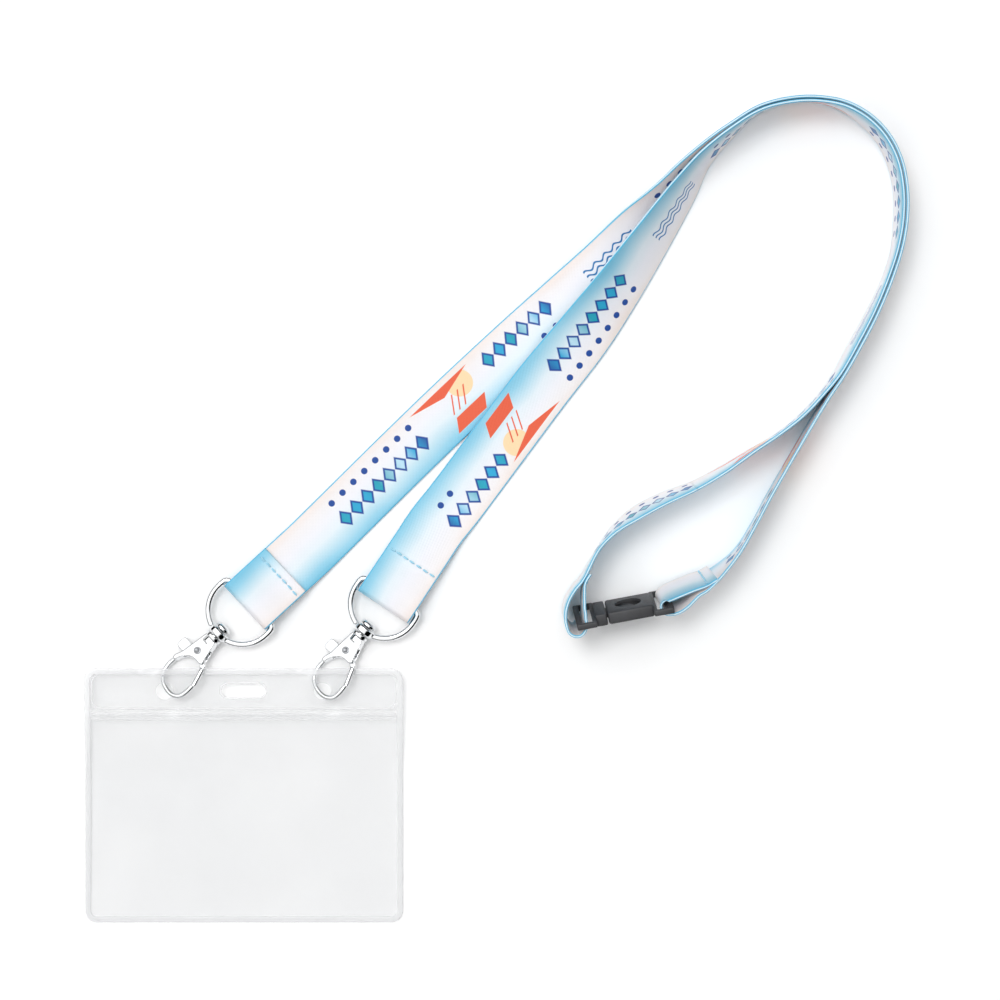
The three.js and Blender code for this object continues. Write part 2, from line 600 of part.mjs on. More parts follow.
// The sewn loop round the ring's bar: the tail, the fold, and the start of the strap.
function hookLoop(clip) {
  const turn = radians(clip.turn);
  const along = vector(Math.cos(turn), Math.sin(turn), 0);
  const left = vector(-Math.sin(turn), Math.cos(turn), 0);
  const slope = Math.sin(radians(PITCH));
  const rest = leanHeight(0) + (clip.tailOnTop ? layerHalf : 0);
  const middle = (s) => {
    const down = THREE.MathUtils.smoothstep(s, RING_BAR_AT, 50);
    return (SWIVEL_HEIGHT + slope * Math.min(s, RING_BAR_AT)) * (1 - down) + rest * down;
  };
  const apart = (s) => {
    const close = THREE.MathUtils.clamp((s - RING_BAR_AT - 1) / 8, 0, 1);
    return wrapRadius * (1 - close) + layerHalf * close;
  };
  const tailSide = clip.tailOnTop ? 1 : -1;
  const at = (s, height) => ({
    centre: vector(clip.x, clip.y, 0).addScaledVector(along, s)
      .addScaledVector(left, -clip.shift).setZ(height),
    across: left.clone(),
  });
  const foldCentre = clip.foldAt + wrapRadius + STRAP_THICKNESS / 2;
  const besideRing = [23.6, 19.5, RING_BAR_AT + 1];
  const tail = [TAIL_FROM_SWIVEL, SEAM_FROM_SWIVEL, ...besideRing]
    .map((s) => at(s, middle(s) + tailSide * apart(s)));
  const fold = [90, 60, 20, -20, -60, -90].map((degrees) => {
    const angle = radians(degrees);
    return at(foldCentre - wrapRadius * Math.cos(angle),
      middle(foldCentre) + tailSide * wrapRadius * Math.sin(angle));
  });
  const main = [...besideRing.toReversed(), SEAM_FROM_SWIVEL, 33, 42]
    .map((s) => at(s, middle(s) - tailSide * apart(s)));
  const top = clip.tailOnTop ? tail[1] : main[3];
  return { points: [...tail, ...fold, ...main], seam: top, along };
}

// Stations of a hand-laid run, with the webbing leaning to the left of its way.
function laidRun(run, offset = 0) {
  const flat = run.map(([x, y]) => vector(x, y, 0));
  return run.map(([, , degrees], i) => {
    const way = flat[Math.min(i + 1, run.length - 1)].clone()
      .sub(flat[Math.max(i - 1, 0)]).normalize();
    const left = vector(-way.y, way.x, 0);
    const lean = radians(degrees);
    const across = left.clone().multiplyScalar(Math.cos(lean)).addScaledVector(UP, Math.sin(lean));
    const face = way.clone().cross(across);
    return {
      centre: flat[i].clone().setZ(leanHeight(lean)).addScaledVector(face, offset),
      across,
    };
  });
}

// The sewn loop at the buckle, which hangs on the buckle's bar and leans there as it does.
function buckleLoop(places) {
  const turn = radians(BUCKLE.turn);
  const along = vector(Math.cos(turn), Math.sin(turn), 0);
  const north = vector(-Math.sin(turn), Math.cos(turn), 0);
  return places.map(([a, n, lean = BUCKLE.lean]) => ({
    centre: vector(BUCKLE.x, BUCKLE.y, buckleZ).addScaledVector(along, a)
      .addScaledVector(north, n),
    across: north.clone().multiplyScalar(-Math.sin(radians(lean)))
      .addScaledVector(UP, Math.cos(radians(lean))),
  }));
}

// Flat webbing through stations, each a centre and the direction from edge to edge.
function ribbon(stations, width, thickness, stepsPerSpan) {
  const centres = new THREE.CatmullRomCurve3(stations.map((s) => s.centre), false, 'centripetal');
  const acrosses = new THREE.CatmullRomCurve3(stations.map((s) => s.across), false, 'catmullrom', 0.5);
  const steps = (stations.length - 1) * stepsPerSpan;
  const geometry = new THREE.BoxGeometry(width, thickness, 1, 1, 1, steps);
  const place = geometry.attributes.position;
  for (let i = 0; i < place.count; i += 1) {
    const t = Math.round((place.getZ(i) + 0.5) * steps) / steps;
    const way = centres.getTangent(t);
    const across = acrosses.getPoint(t);
    across.addScaledVector(way, -across.dot(way)).normalize();
    const face = way.clone().cross(across).normalize();
    const point = centres.getPoint(t)
      .addScaledVector(across, place.getX(i))
      .addScaledVector(face, place.getY(i));
    place.setXYZ(i, point.x, point.y, point.z);
  }
  return geometryOf(solidOf(geometry));
}

// A sewn row: a bead of thread across the webbing on the face that shows.
function sewnRow(station, way, outward) {
  const away = STRAP_THICKNESS / 2 + THREAD_GAP + THREAD_HEIGHT / 2;
  const stations = [-1, 1].map((end) => ({
    centre: station.centre.clone().addScaledVector(outward, away)
      .addScaledVector(way, (end * THREAD_WIDTH) / 2),
    across: station.across,
  }));
  return ribbon(stations, STRAP_WIDTH - 2 * THREAD_MARGIN, THREAD_HEIGHT, 1);
}

const pairOffset = (STRAP_THICKNESS + PAIR_GAP) / 2;
const STRAPS = {
  left: {
    run: LEFT_RUN, pairSide: -1, back: LEFT_RETURN, loop: LEFT_LOOP, seam: LEFT_SEAM,
  },
  right: {
    run: RIGHT_RUN, pairSide: 1, back: RIGHT_RETURN, loop: RIGHT_LOOP, seam: RIGHT_SEAM,
  },
};

for (const [side, strap] of Object.entries(STRAPS)) {
  const start = hookLoop(CLIPS[side]);
  const end = buckleLoop(strap.loop);
  const stations = [
    ...start.points,
    ...laidRun(strap.run),
    ...laidRun(SHARED_RUN, strap.pairSide * pairOffset),
    ...laidRun(strap.back),
    ...end,
  ];
  addMesh(object, `strap_${side}`,
    ribbon(stations, STRAP_WIDTH, STRAP_THICKNESS, STEPS_PER_SPAN), 'webbing');
  addMesh(object, `hook_loop_thread_${side}`,
    sewnRow(start.seam, start.along, UP), 'thread');
  const sewn = end[strap.seam];
  const way = end[strap.seam + 1].centre.clone().sub(end[strap.seam - 1].centre).normalize();
  const face = way.clone().cross(sewn.across).normalize();
  const inward = end[0].centre.clone().sub(sewn.centre);
  if (face.dot(inward) > 0) face.negate();
  addMesh(object, `buckle_loop_thread_${side}`, sewnRow(sewn, way, face), 'thread');
}

// ---- origin: centre of the footprint, on the table --------------------------------
const box = new THREE.Box3().setFromObject(object, true);
const middle = box.getCenter(vector(0, 0, 0));
object.position.set(-middle.x, -middle.y, -box.min.z);
object.updateMatrixWorld(true);

export default object;
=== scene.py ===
import math

import bmesh
import bpy
import numpy as np
from mathutils import Euler, Matrix, Vector


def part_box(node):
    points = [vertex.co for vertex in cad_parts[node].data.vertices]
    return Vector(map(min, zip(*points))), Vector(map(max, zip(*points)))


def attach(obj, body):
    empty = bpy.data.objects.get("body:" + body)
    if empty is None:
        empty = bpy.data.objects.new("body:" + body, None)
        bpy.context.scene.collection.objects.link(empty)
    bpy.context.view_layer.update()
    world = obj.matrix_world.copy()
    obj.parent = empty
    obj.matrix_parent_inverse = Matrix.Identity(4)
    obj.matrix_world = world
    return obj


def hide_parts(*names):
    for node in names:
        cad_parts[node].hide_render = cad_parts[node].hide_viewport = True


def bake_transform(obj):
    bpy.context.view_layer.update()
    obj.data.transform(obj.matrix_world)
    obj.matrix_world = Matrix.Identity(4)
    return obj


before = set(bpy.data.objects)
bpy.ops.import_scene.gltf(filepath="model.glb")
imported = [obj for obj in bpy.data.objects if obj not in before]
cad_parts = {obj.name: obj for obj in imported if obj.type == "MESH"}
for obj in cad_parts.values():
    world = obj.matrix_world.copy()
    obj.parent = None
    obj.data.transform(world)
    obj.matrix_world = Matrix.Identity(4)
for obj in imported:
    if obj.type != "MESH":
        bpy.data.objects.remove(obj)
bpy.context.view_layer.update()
MM = 0.001

# ---- sizes, in millimetres, as the straps and fittings are made --------------------
STRAP_WIDTH = 20
STRAP_THICKNESS = 1.0
LAYER_GAP = 0.15
PAIR_GAP = 0.3
TABLE_GAP = 0.15
SEAM_FROM_SWIVEL = 27.4
TAIL_FROM_SWIVEL = 30.5
SWIVEL_HEIGHT = 4.12
PITCH = 2.5
ROLL = 22
RING_WIRE = 2.1
RING_INNER_WIDTH = STRAP_WIDTH + 0.6
RING_BAR_AT = 14.6
RING_CORNER = 2

HOLDER = {"width": 106, "height": 84.8, "corner": 4, "centre_x": -85.25, "top_y": -55.9}
SHEET = 0.3
SHEET_GAP = 0.1
HEADER_HEIGHT = 14
MOUTH_GAP = 0.8
POCKET_RISE = 0.9
POCKET_WELD = 3
POCKET_PEAK = 1.6
HOLE_RADIUS = 2.8
HOLE_PITCH = 52.5
HOLE_FROM_TOP = 7.6
SLOT = {"length": 14.4, "width": 4.2, "from_top": 7.4}
HEADER_LIFT = 3.07
RAMP = (-94, -64)
DIMPLE_SLOPE = 0.38
DIMPLE_RADIUS = 11

BUCKLE = {"x": 40.6, "y": -36.1, "turn": 10.5, "lean": 14}
LOOP_OPENING = STRAP_WIDTH + 1.2
LOOP_ARM = 1.3
LOOP_THICKNESS = 2.0
LOOP_BAR = 1.8
LOOP_LENGTH = 6.4
LOOP_FOOT = 1.0
CASING_WIDTH = 16
CASING_THICKNESS = 4.1
COLLAR_LENGTH = 3.9
HOUSING_LENGTH = 15.2
CASING_GAP = 0.4
CASING_WALL = 0.95
CAVITY = {"length": 12.6, "width": 9.4}
TONGUE = {"width": 6.4, "head": 4.2, "length": 9.2, "gap": 0.3, "root": 0.5}
WINDOW = {"along": 4.4, "across": 4.4, "at": 7.4}

CLIPS = {
    "left": {"x": -93.5, "y": -44.0, "turn": 43, "hook_turn": 43, "fold_at": 11.9, "shift": 0,
             "tail_on_top": True},
    "right": {"x": -45.1, "y": -43.1, "turn": 56.5, "hook_turn": 50, "fold_at": 9.7, "shift": 1.0,
              "tail_on_top": False},
}

# Centre lines of the straps, clip to buckle: x, y and the lean of the webbing in
# degrees, 0 lying flat and 90 standing on its right edge.
LEFT_RUN = [
    (-53.3, -6.0, 0), (-34.7, 12.4, 0), (-13.5, 32.9, 0), (6.0, 51.0, 0), (22.7, 65.9, 5),
    (36.9, 78.9, 14), (47.1, 90.1, 32), (55.6, 100.4, 56), (62.2, 109.0, 69), (69.0, 116.6, 79),
]
RIGHT_RUN = [
    (-15.0, -1.0, 1), (0.6, 19.9, 5), (14.2, 38.0, 9), (26.9, 53.8, 20), (38.2, 69.1, 36),
    (48.9, 84.6, 49), (60.4, 101.9, 63), (67.4, 112.4, 76),
]
SHARED_RUN = [
    (75.8, 121.6, 84), (85.3, 128.9, 92), (96.0, 132.2, 96), (105.0, 132.4, 96),
    (113.6, 130.2, 93), (121.0, 125.5, 90), (126.8, 119.2, 89), (130.6, 111.2, 88),
    (132.4, 102.0, 88), (132.4, 92.6, 88), (131.0, 82.4, 90), (127.6, 72.0, 90),
    (122.8, 61.4, 88), (117.2, 50.9, 87), (112.0, 41.5, 88),
]
LEFT_RETURN = [
    (107.6, 33.2, 90), (102.7, 25.2, 90), (97.9, 17.0, 90), (93.2, 8.9, 90), (88.6, 0.8, 90),
    (83.8, -8.2, 90), (78.3, -17.0, 88),
]
RIGHT_RETURN = [
    (106.3, 34.9, 90), (99.2, 27.4, 90), (91.4, 21.3, 90), (83.0, 16.0, 88), (73.8, 10.0, 85),
    (64.1, 4.6, 83), (53.6, 0.2, 80), (44.4, -4.8, 80), (37.2, -10.4, 86), (32.4, -16.4, 90),
]
# The loops at the buckle: places along and across its length, from its centre, and how far
# the webbing leans over there in degrees, where that differs from the buckle.
LEFT_LOOP = [
    (28.3, 4.06), (24.5, 2.2), (20.6, -0.4), (17.7, -1.65), (15.3, -1.85), (13.55, -1.35),
    (12.8, -0.1), (13.1, 1.3), (14.4, 2.3), (16.6, 3.0), (19.8, 3.7), (23.9, 4.55),
    (27.9, 5.2), (31.2, 6.4),
]
RIGHT_LOOP = [
    (-11.83, 12.28, 3), (-14.6, 9.9, 3), (-17.2, 7.0, 4), (-18.9, 3.6, 6), (-19.2, 0.0, 9),
    (-18.0, -2.8, 12), (-15.9, -3.4), (-14.0, -1.9), (-13.1, 1.0), (-12.6, 4.6, 11),
    (-11.9, 8.2, 6), (-10.9, 11.5, 3), (-8.9, 13.9, 3),
]
LEFT_SEAM = 12
RIGHT_SEAM = 11

UP = np.array([0.0, 0.0, 1.0])


def layout_shift():
    """From the layout's own places to the frame's, in millimetres."""
    low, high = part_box("holder_back_sheet")
    return np.array([
        (low.x + high.x) / 2 / MM - HOLDER["centre_x"], high.y / MM - HOLDER["top_y"], low.z / MM])


SHIFT = layout_shift()


# ---- small tools -------------------------------------------------------------------
def linear(code):
    """An sRGB hex colour as linear red, green, blue and alpha."""
    parts = [int(code[i:i + 2], 16) / 255 for i in (1, 3, 5)]
    return tuple(c / 12.92 if c <= 0.04045 else ((c + 0.055) / 1.055) ** 2.4 for c in parts) + (1.0,)


def add(tree, kind, settings=None, inputs=None):
    """A node with its settings, and with each input set to a value or linked to a socket."""
    node = tree.nodes.new(kind)
    for key, value in (settings or {}).items():
        setattr(node, key, value)
    for key, value in (inputs or {}).items():
        if isinstance(value, bpy.types.NodeSocket):
            tree.links.new(value, node.inputs[key])
        else:
            node.inputs[key].default_value = value
    return node


def show(name, mesh, material=None):
    piece = bpy.data.objects.new(name, mesh)
    bpy.context.scene.collection.objects.link(piece)
    if material:
        mesh.materials.clear()
        mesh.materials.append(material)
    return piece


def mesh_of(name, points, faces):
    """A mesh from points in millimetres in the layout, smooth, with its faces outwards."""
    mesh = bpy.data.meshes.new(name)
    mesh.from_pydata([Vector(p) for p in (np.array(points) + SHIFT) * MM], [], faces)
    turn_out(mesh)
    return mesh


def turn_out(mesh, smooth=True):
    work = bmesh.new()
    work.from_mesh(mesh)
    bmesh.ops.remove_doubles(work, verts=work.verts, dist=1e-7)
    bmesh.ops.recalc_face_normals(work, faces=work.faces)
    for face in work.faces:
        face.smooth = smooth
    work.to_mesh(mesh)
    work.free()


def finished(piece, *modifiers):
    """The piece with the modifiers, each a kind, a name and settings, applied to its mesh."""
    for kind, settings in modifiers:
        modifier = piece.modifiers.new(kind.lower(), kind)
        for key, value in settings.items():
            setattr(modifier, key, value)
    bpy.context.view_layer.update()
    mesh = bpy.data.meshes.new_from_object(
        piece.evaluated_get(bpy.context.evaluated_depsgraph_get()))
    piece.modifiers.clear()
    old = piece.data
    piece.data = mesh
    mesh.name = piece.name
    bpy.data.meshes.remove(old)
    return piece


def cut(piece, others, operation):
    """The piece joined with, cut by or kept inside each of the others, which go away."""
    for other in others:
        finished(piece, ("BOOLEAN", {"object": other, "operation": operation, "solver": "EXACT"}))
        bpy.data.objects.remove(other)
    return piece


def sharp_edges(mesh, degrees=32):
    """Smooth faces, with a crease wherever two faces turn by more than the angle."""
    mesh.shade_smooth()
    mesh.set_sharp_from_angle(angle=math.radians(degrees))


def curve_through(points, steps, even=False):
    """Places and directions along a curve through the points, `steps[i]` of them in span i."""
    p = np.vstack([2 * points[0] - points[1], points, 2 * points[-1] - points[-2]])
    gap = np.ones(len(p) - 1) if even else np.linalg.norm(np.diff(p, axis=0), axis=1) ** 0.5
    places, ways = [], []
    for i, count in enumerate(steps):
        before, start, stop, after = p[i:i + 4]
        g0, g1, g2 = gap[i:i + 3]
        out = g1 * ((start - before) / g0 - (stop - before) / (g0 + g1) + (stop - start) / g1)
        home = g1 * ((stop - start) / g1 - (after - start) / (g1 + g2) + (after - stop) / g2)
        last = i == len(steps) - 1
        u = (np.arange(count + last) / count)[:, None]
        square = 3 * (stop - start) - 2 * out - home
        cube = 2 * (start - stop) + out + home
        places.append(start + out * u + square * u ** 2 + cube * u ** 3)
        ways.append(out + 2 * square * u + 3 * cube * u ** 2)
    ways = np.vstack(ways)
    return np.vstack(places), ways / np.linalg.norm(ways, axis=1)[:, None]


def swept(name, path, section, closed=False, taper=None):
    """A tube of a section (points across and up, in millimetres) along a path in one plane."""
    count, sides = len(path), len(section)
    way = np.roll(path, -1, axis=0) - np.roll(path, 1, axis=0)
    if not closed:
        way[0], way[-1] = path[1] - path[0], path[-1] - path[-2]
    way /= np.linalg.norm(way, axis=1)[:, None]
    out = np.cross(way, UP)
    size = np.ones(count) if taper is None else taper
    ring = np.array(section)
    points = (path[:, None] + out[:, None] * (ring[:, 0][None, :, None] * size[:, None, None])
              + UP * (ring[:, 1][None, :, None] * size[:, None, None]))
    spans = count if closed else count - 1
    faces = [(i * sides + j, i * sides + (j + 1) % sides, (i + 1) % count * sides + (j + 1) % sides,
              (i + 1) % count * sides + j) for i in range(spans) for j in range(sides)]
    if not closed:
        faces += [tuple(range(sides)), tuple((count - 1) * sides + j for j in range(sides))]
    return local_piece(name, points.reshape(-1, 3), faces)


def local_piece(name, points, faces):
    """A piece whose points are in millimetres in the axes of its own fitting."""
    mesh = bpy.data.meshes.new(name)
    mesh.from_pydata([Vector(p) for p in np.array(points) * MM], [], faces)
    turn_out(mesh)
    return show(name, mesh)


def circle(radius, sides):
    return [(radius * math.cos(2 * math.pi * i / sides), radius * math.sin(2 * math.pi * i / sides))
            for i in range(sides)]


def lathe(name, profile, sides=48):
    """A turned solid round the X axis. The profile is radius and place, from axis to axis."""
    points, faces = [], []
    for radius, along in profile:
        points += [(along, radius * y, radius * z) for y, z in circle(1, sides)]
    for i in range(len(profile) - 1):
        for j in range(sides):
            k = (j + 1) % sides
            faces.append((i * sides + j, i * sides + k, (i + 1) * sides + k, (i + 1) * sides + j))
    return local_piece(name, points, faces)


def rounded(profile, radius, steps=4):
    """The profile with each inner corner turned into an arc of about that radius."""
    made = [np.array(profile[0], float)]
    for before, corner, after in zip(profile, profile[1:], profile[2:]):
        corner = np.array(corner, float)
        arms = [np.array(p, float) - corner for p in (before, after)]
        reach = min(radius, *(np.linalg.norm(arm) / 2 for arm in arms))
        start, stop = (corner + arm / np.linalg.norm(arm) * reach for arm in arms)
        for i in range(steps + 1):
            u = i / steps
            made.append((1 - u) ** 2 * start + 2 * u * (1 - u) * corner + u * u * stop)
    return [*made, np.array(profile[-1], float)]


def plate(name, outline, thickness, middle=0.0, bevel=0.0):
    """A flat plate of an outline, lying in the XY plane of its fitting."""
    low, high = middle - thickness / 2, middle + thickness / 2
    count = len(outline)
    points = [(x, y, low) for x, y in outline] + [(x, y, high) for x, y in outline]
    faces = [tuple(range(count)), tuple(range(count, 2 * count))]
    faces += [(i, (i + 1) % count, count + (i + 1) % count, count + i) for i in range(count)]
    piece = local_piece(name, points, faces)
    if bevel:
        finished(piece, ("BEVEL", {"width": bevel * MM, "segments": 3, "limit_method": "ANGLE",
                                   "angle_limit": math.radians(50)}))
    return piece


def block(name, low, high, bevel=0.0):
    """A block between two corners."""
    outline = [(low[0], low[1]), (high[0], low[1]), (high[0], high[1]), (low[0], high[1])]
    return plate(name, outline, high[2] - low[2], (low[2] + high[2]) / 2, bevel)


def rod(name, radius, start, end, sides=32):
    start, end = np.array(start, float), np.array(end, float)
    piece = lathe(name, [(0, 0), (radius, 0), (radius, np.linalg.norm(end - start)),
                         (0, np.linalg.norm(end - start))], sides)
    turn = Vector((1, 0, 0)).rotation_difference(Vector(end - start)).to_matrix().to_4x4()
    piece.data.transform(Matrix.Translation(Vector(start) * MM) @ turn)
    return piece


def place_in(piece, matrix):
    """Moves a fitting's piece from its own axes to the frame."""
    piece.data.transform(matrix)
    piece.data.update()
    return piece


def fitting_matrix(x, y, z, roll, pitch, turn):
    angles = Euler([math.radians(a) for a in (roll, pitch, turn)], "XYZ")
    spot = Vector((np.array([x, y, z]) + SHIFT) * MM)
    return Matrix.Translation(spot) @ angles.to_matrix().to_4x4()


# ---- camera and light --------------------------------------------------------------
VIEW_HEIGHT = 1100
VIEW_WIDTH = 333.333
SENSOR = 36
KEY = {"energy": 0.9, "angle": 20, "from": (-0.24, 0.24, 1.0)}
ROOM_STRENGTH = 1.38
SOFTBOX = (-0.42, 0.38, 0.84)
BLACK_CARD = (0.66, -0.6, 0.46)
VINYL_PASSES = 32
TABLE_REACH = 3  # metres


def camera():
    """Straight over the middle of the layout."""
    data = bpy.data.cameras.new("camera")
    data.sensor_width = SENSOR
    data.lens = SENSOR * VIEW_HEIGHT / VIEW_WIDTH
    data.clip_start, data.clip_end = 0.01, 20
    made = bpy.data.objects.new("camera", data)
    made.location = (SHIFT[0] * MM, SHIFT[1] * MM, VIEW_HEIGHT * MM)
    bpy.context.scene.collection.objects.link(made)
    bpy.context.scene.camera = made


def studio():
    """A soft key light from the upper left and a white room that is brightest on that side.
    A dark strip low down and a black card opposite draw the dark lines in polished metal.
    Light passes through as many layers of vinyl as lie on each other."""
    key = bpy.data.lights.new("key", "SUN")
    key.energy = KEY["energy"]
    key.angle = math.radians(KEY["angle"])
    lamp = bpy.data.objects.new("key", key)
    lamp.rotation_euler = Vector(KEY["from"]).to_track_quat("Z", "Y").to_euler()
    bpy.context.scene.collection.objects.link(lamp)

    world = bpy.data.worlds.new("room")
    bpy.context.scene.world = world
    world.use_nodes = True
    tree = world.node_tree
    tree.nodes.clear()
    way = add(tree, "ShaderNodeTexCoord").outputs["Generated"]
    parts = add(tree, "ShaderNodeSeparateXYZ", inputs={0: way})
    facing = add(tree, "ShaderNodeVectorMath", {"operation": "DOT_PRODUCT"}, {
        0: way, 1: Vector(SOFTBOX).normalized()})
    band = colour_ramp(tree, parts.outputs["Z"], [
        (0.0, 0.3), (0.03, 0.0), (0.43, 0.0), (0.49, 0.8), (0.6, 1.0)])
    sky = colour_ramp(tree, facing.outputs["Value"], [(0.0, 0.66), (0.5, 0.72), (0.82, 1.0)])
    from_card = add(tree, "ShaderNodeVectorMath", {"operation": "DOT_PRODUCT"}, {
        0: way, 1: Vector(BLACK_CARD).normalized()})
    card = colour_ramp(tree, from_card.outputs["Value"], [(0.8, 1.0), (0.84, 0.0)])
    lit = add(tree, "ShaderNodeMath", {"operation": "MULTIPLY"}, {0: band, 1: sky})
    light = add(tree, "ShaderNodeMath", {"operation": "MULTIPLY"}, {0: lit.outputs[0], 1: card})
    strength = add(tree, "ShaderNodeMath", {"operation": "MULTIPLY"}, {
        0: light.outputs[0], 1: ROOM_STRENGTH})
    glow = add(tree, "ShaderNodeBackground", inputs={
        "Color": linear("#FFFFFF"), "Strength": strength.outputs[0]})
    add(tree, "ShaderNodeOutputWorld", inputs={"Surface": glow.outputs[0]})

    bpy.context.scene.view_settings.view_transform = "Standard"
    bpy.context.scene.cycles.transparent_max_bounces = VINYL_PASSES


def colour_ramp(tree, value, stops):
    """A ramp through stops, each a place with a hex colour or a level of grey."""
    ramp = add(tree, "ShaderNodeValToRGB", inputs={0: value})
    for place, tone in stops[2:]:
        ramp.color_ramp.elements.new(place)
    for element, (place, tone) in zip(ramp.color_ramp.elements, stops):
        element.position = place
        element.color = linear(tone) if isinstance(tone, str) else (tone, tone, tone, 1)
    return ramp.outputs[0]


def floor():
    mesh = bpy.data.meshes.new("table_top")
    corners = [(x * TABLE_REACH, y * TABLE_REACH, 0) for x, y in ((-1, -1), (1, -1), (1, 1), (-1, 1))]
    mesh.from_pydata(corners, [], [(0, 1, 2, 3)])
    material, _, shader = new_material("white_paper_sweep")
    shader.inputs["Base Color"].default_value = linear("#FDFDFD")
    shader.inputs["Roughness"].default_value = 0.9
    shader.inputs["Specular IOR Level"].default_value = 0.1
    show("table_top", mesh, material)


def new_material(name):
    material = bpy.data.materials.new(name)
    material.use_nodes = True
    tree = material.node_tree
    tree.nodes.clear()
    shader = add(tree, "ShaderNodeBsdfPrincipled")
    add(tree, "ShaderNodeOutputMaterial", inputs={"Surface": shader.outputs[0]})
    return material, tree, shader


def bumped(tree, shader, height, depth):
    """Gives the shader a bump of that depth in millimetres."""
    bump = add(tree, "ShaderNodeBump", inputs={"Height": height, "Distance": depth * MM})
    tree.links.new(bump.outputs[0], shader.inputs["Normal"])


# ---- plain materials ---------------------------------------------------------------
def chrome_plate():
    """Nickel-chrome plate on die-cast zinc: a bright cool mirror, faintly uneven from the
    casting under it, with fine handling haze."""
    material, tree, shader = new_material("chrome_plated_zinc")
    shader.inputs["Metallic"].default_value = 1.0
    spot = add(tree, "ShaderNodeTexCoord").outputs["Object"]
    haze = add(tree, "ShaderNodeTexNoise", inputs={
        "Vector": spot, "Scale": 1 / (2.222 * MM), "Detail": 3})
    rough = add(tree, "ShaderNodeMapRange", inputs={
        "Value": haze.outputs["Fac"], "From Min": 0.35, "From Max": 0.7, "To Min": 0.05,
        "To Max": 0.11})
    tree.links.new(rough.outputs[0], shader.inputs["Roughness"])
    tone = add(tree, "ShaderNodeMix", {"data_type": "RGBA"}, {
        0: haze.outputs["Fac"], 6: linear("#F3F4F5"), 7: linear("#E4E6E8")})
    tree.links.new(tone.outputs[2], shader.inputs["Base Color"])
    swell = add(tree, "ShaderNodeTexNoise", inputs={
        "Vector": spot, "Scale": 1 / (3.846 * MM), "Detail": 1})
    bumped(tree, shader, swell.outputs["Fac"], 0.05)
    return material


def rivet_steel():
    """Plain spring and rivet steel: a greyer metal with drawn lines, 0.2 mm apart."""
    material, tree, shader = new_material("drawn_steel")
    shader.inputs["Metallic"].default_value = 1.0
    shader.inputs["Roughness"].default_value = 0.28
    spot = add(tree, "ShaderNodeTexCoord").outputs["Object"]
    drawn = add(tree, "ShaderNodeTexNoise", inputs={"Vector": spot, "Scale": 1 / (0.2 * MM)})
    tone = add(tree, "ShaderNodeMix", {"data_type": "RGBA"}, {
        0: drawn.outputs["Fac"], 6: linear("#A5A7AA"), 7: linear("#8C8E92")})
    tree.links.new(tone.outputs[2], shader.inputs["Base Color"])
    bumped(tree, shader, drawn.outputs["Fac"], 0.02)
    return material


def black_acetal():
    """Moulded acetal: near black with a fine spark-eroded grain, 0.25 mm, and a slightly
    lighter bloom where it has been handled."""
    material, tree, shader = new_material("moulded_black_acetal")
    spot = add(tree, "ShaderNodeTexCoord").outputs["Object"]
    grain = add(tree, "ShaderNodeTexNoise", inputs={
        "Vector": spot, "Scale": 1 / (0.25 * MM), "Detail": 2})
    bloom = add(tree, "ShaderNodeTexNoise", inputs={
        "Vector": spot, "Scale": 1 / (5 * MM), "Detail": 3})
    tone = add(tree, "ShaderNodeMix", {"data_type": "RGBA"}, {
        0: bloom.outputs["Fac"], 6: linear("#303032"), 7: linear("#48494C")})
    tree.links.new(tone.outputs[2], shader.inputs["Base Color"])
    rough = add(tree, "ShaderNodeMapRange", inputs={
        "Value": grain.outputs["Fac"], "To Min": 0.42, "To Max": 0.62})
    tree.links.new(rough.outputs[0], shader.inputs["Roughness"])
    shader.inputs["IOR"].default_value = 1.48
    bumped(tree, shader, grain.outputs["Fac"], 0.035)
    return material


def clear_vinyl(name, shade, light, cover, depth):
    """Soft clear PVC sheet: glossy, a little milky, with slow waves in its surface that break
    up the highlights. Welded stretches get a whiter, less clear colour: partly their milkier
    vinyl, partly a painted highlight for the light their beads catch."""
    material, tree, shader = new_material(name)
    spot = add(tree, "ShaderNodeTexCoord").outputs["Object"]
    waves = add(tree, "ShaderNodeTexNoise", inputs={
        "Vector": spot, "Scale": 1 / (38 * MM), "Detail": 1, "Roughness": 0.3})
    tone = add(tree, "ShaderNodeMix", {"data_type": "RGBA"}, {
        0: waves.outputs["Fac"], 6: linear(shade), 7: linear(light)})
    tree.links.new(tone.outputs[2], shader.inputs["Base Color"])
    haze = add(tree, "ShaderNodeMapRange", inputs={
        "Value": waves.outputs["Fac"], "From Min": 0.3, "From Max": 0.7,
        "To Min": cover - 0.015, "To Max": cover + 0.015})
    tree.links.new(haze.outputs[0], shader.inputs["Alpha"])
    shader.inputs["Roughness"].default_value = 0.22
    shader.inputs["IOR"].default_value = 1.53
    bumped(tree, shader, waves.outputs["Fac"], depth)
    return material


def sewing_thread():
    """Twisted polyester thread: light blue, with the twist as fine slanting ridges, 0.3 mm."""
    material, tree, shader = new_material("polyester_thread")
    spot = add(tree, "ShaderNodeTexCoord").outputs["Object"]
    twist = add(tree, "ShaderNodeTexWave", {"bands_direction": "DIAGONAL"}, {
        "Vector": spot, "Scale": 0.35 / (0.3 * MM), "Distortion": 1.5})
    tone = add(tree, "ShaderNodeMix", {"data_type": "RGBA"}, {
        0: twist.outputs["Fac"], 6: linear("#86CEE9"), 7: linear("#B4E0F1")})
    tree.links.new(tone.outputs[2], shader.inputs["Base Color"])
    shader.inputs["Roughness"].default_value = 0.7
    shader.inputs["Sheen Weight"].default_value = 0.3
    bumped(tree, shader, twist.outputs["Fac"], 0.05)
    return material


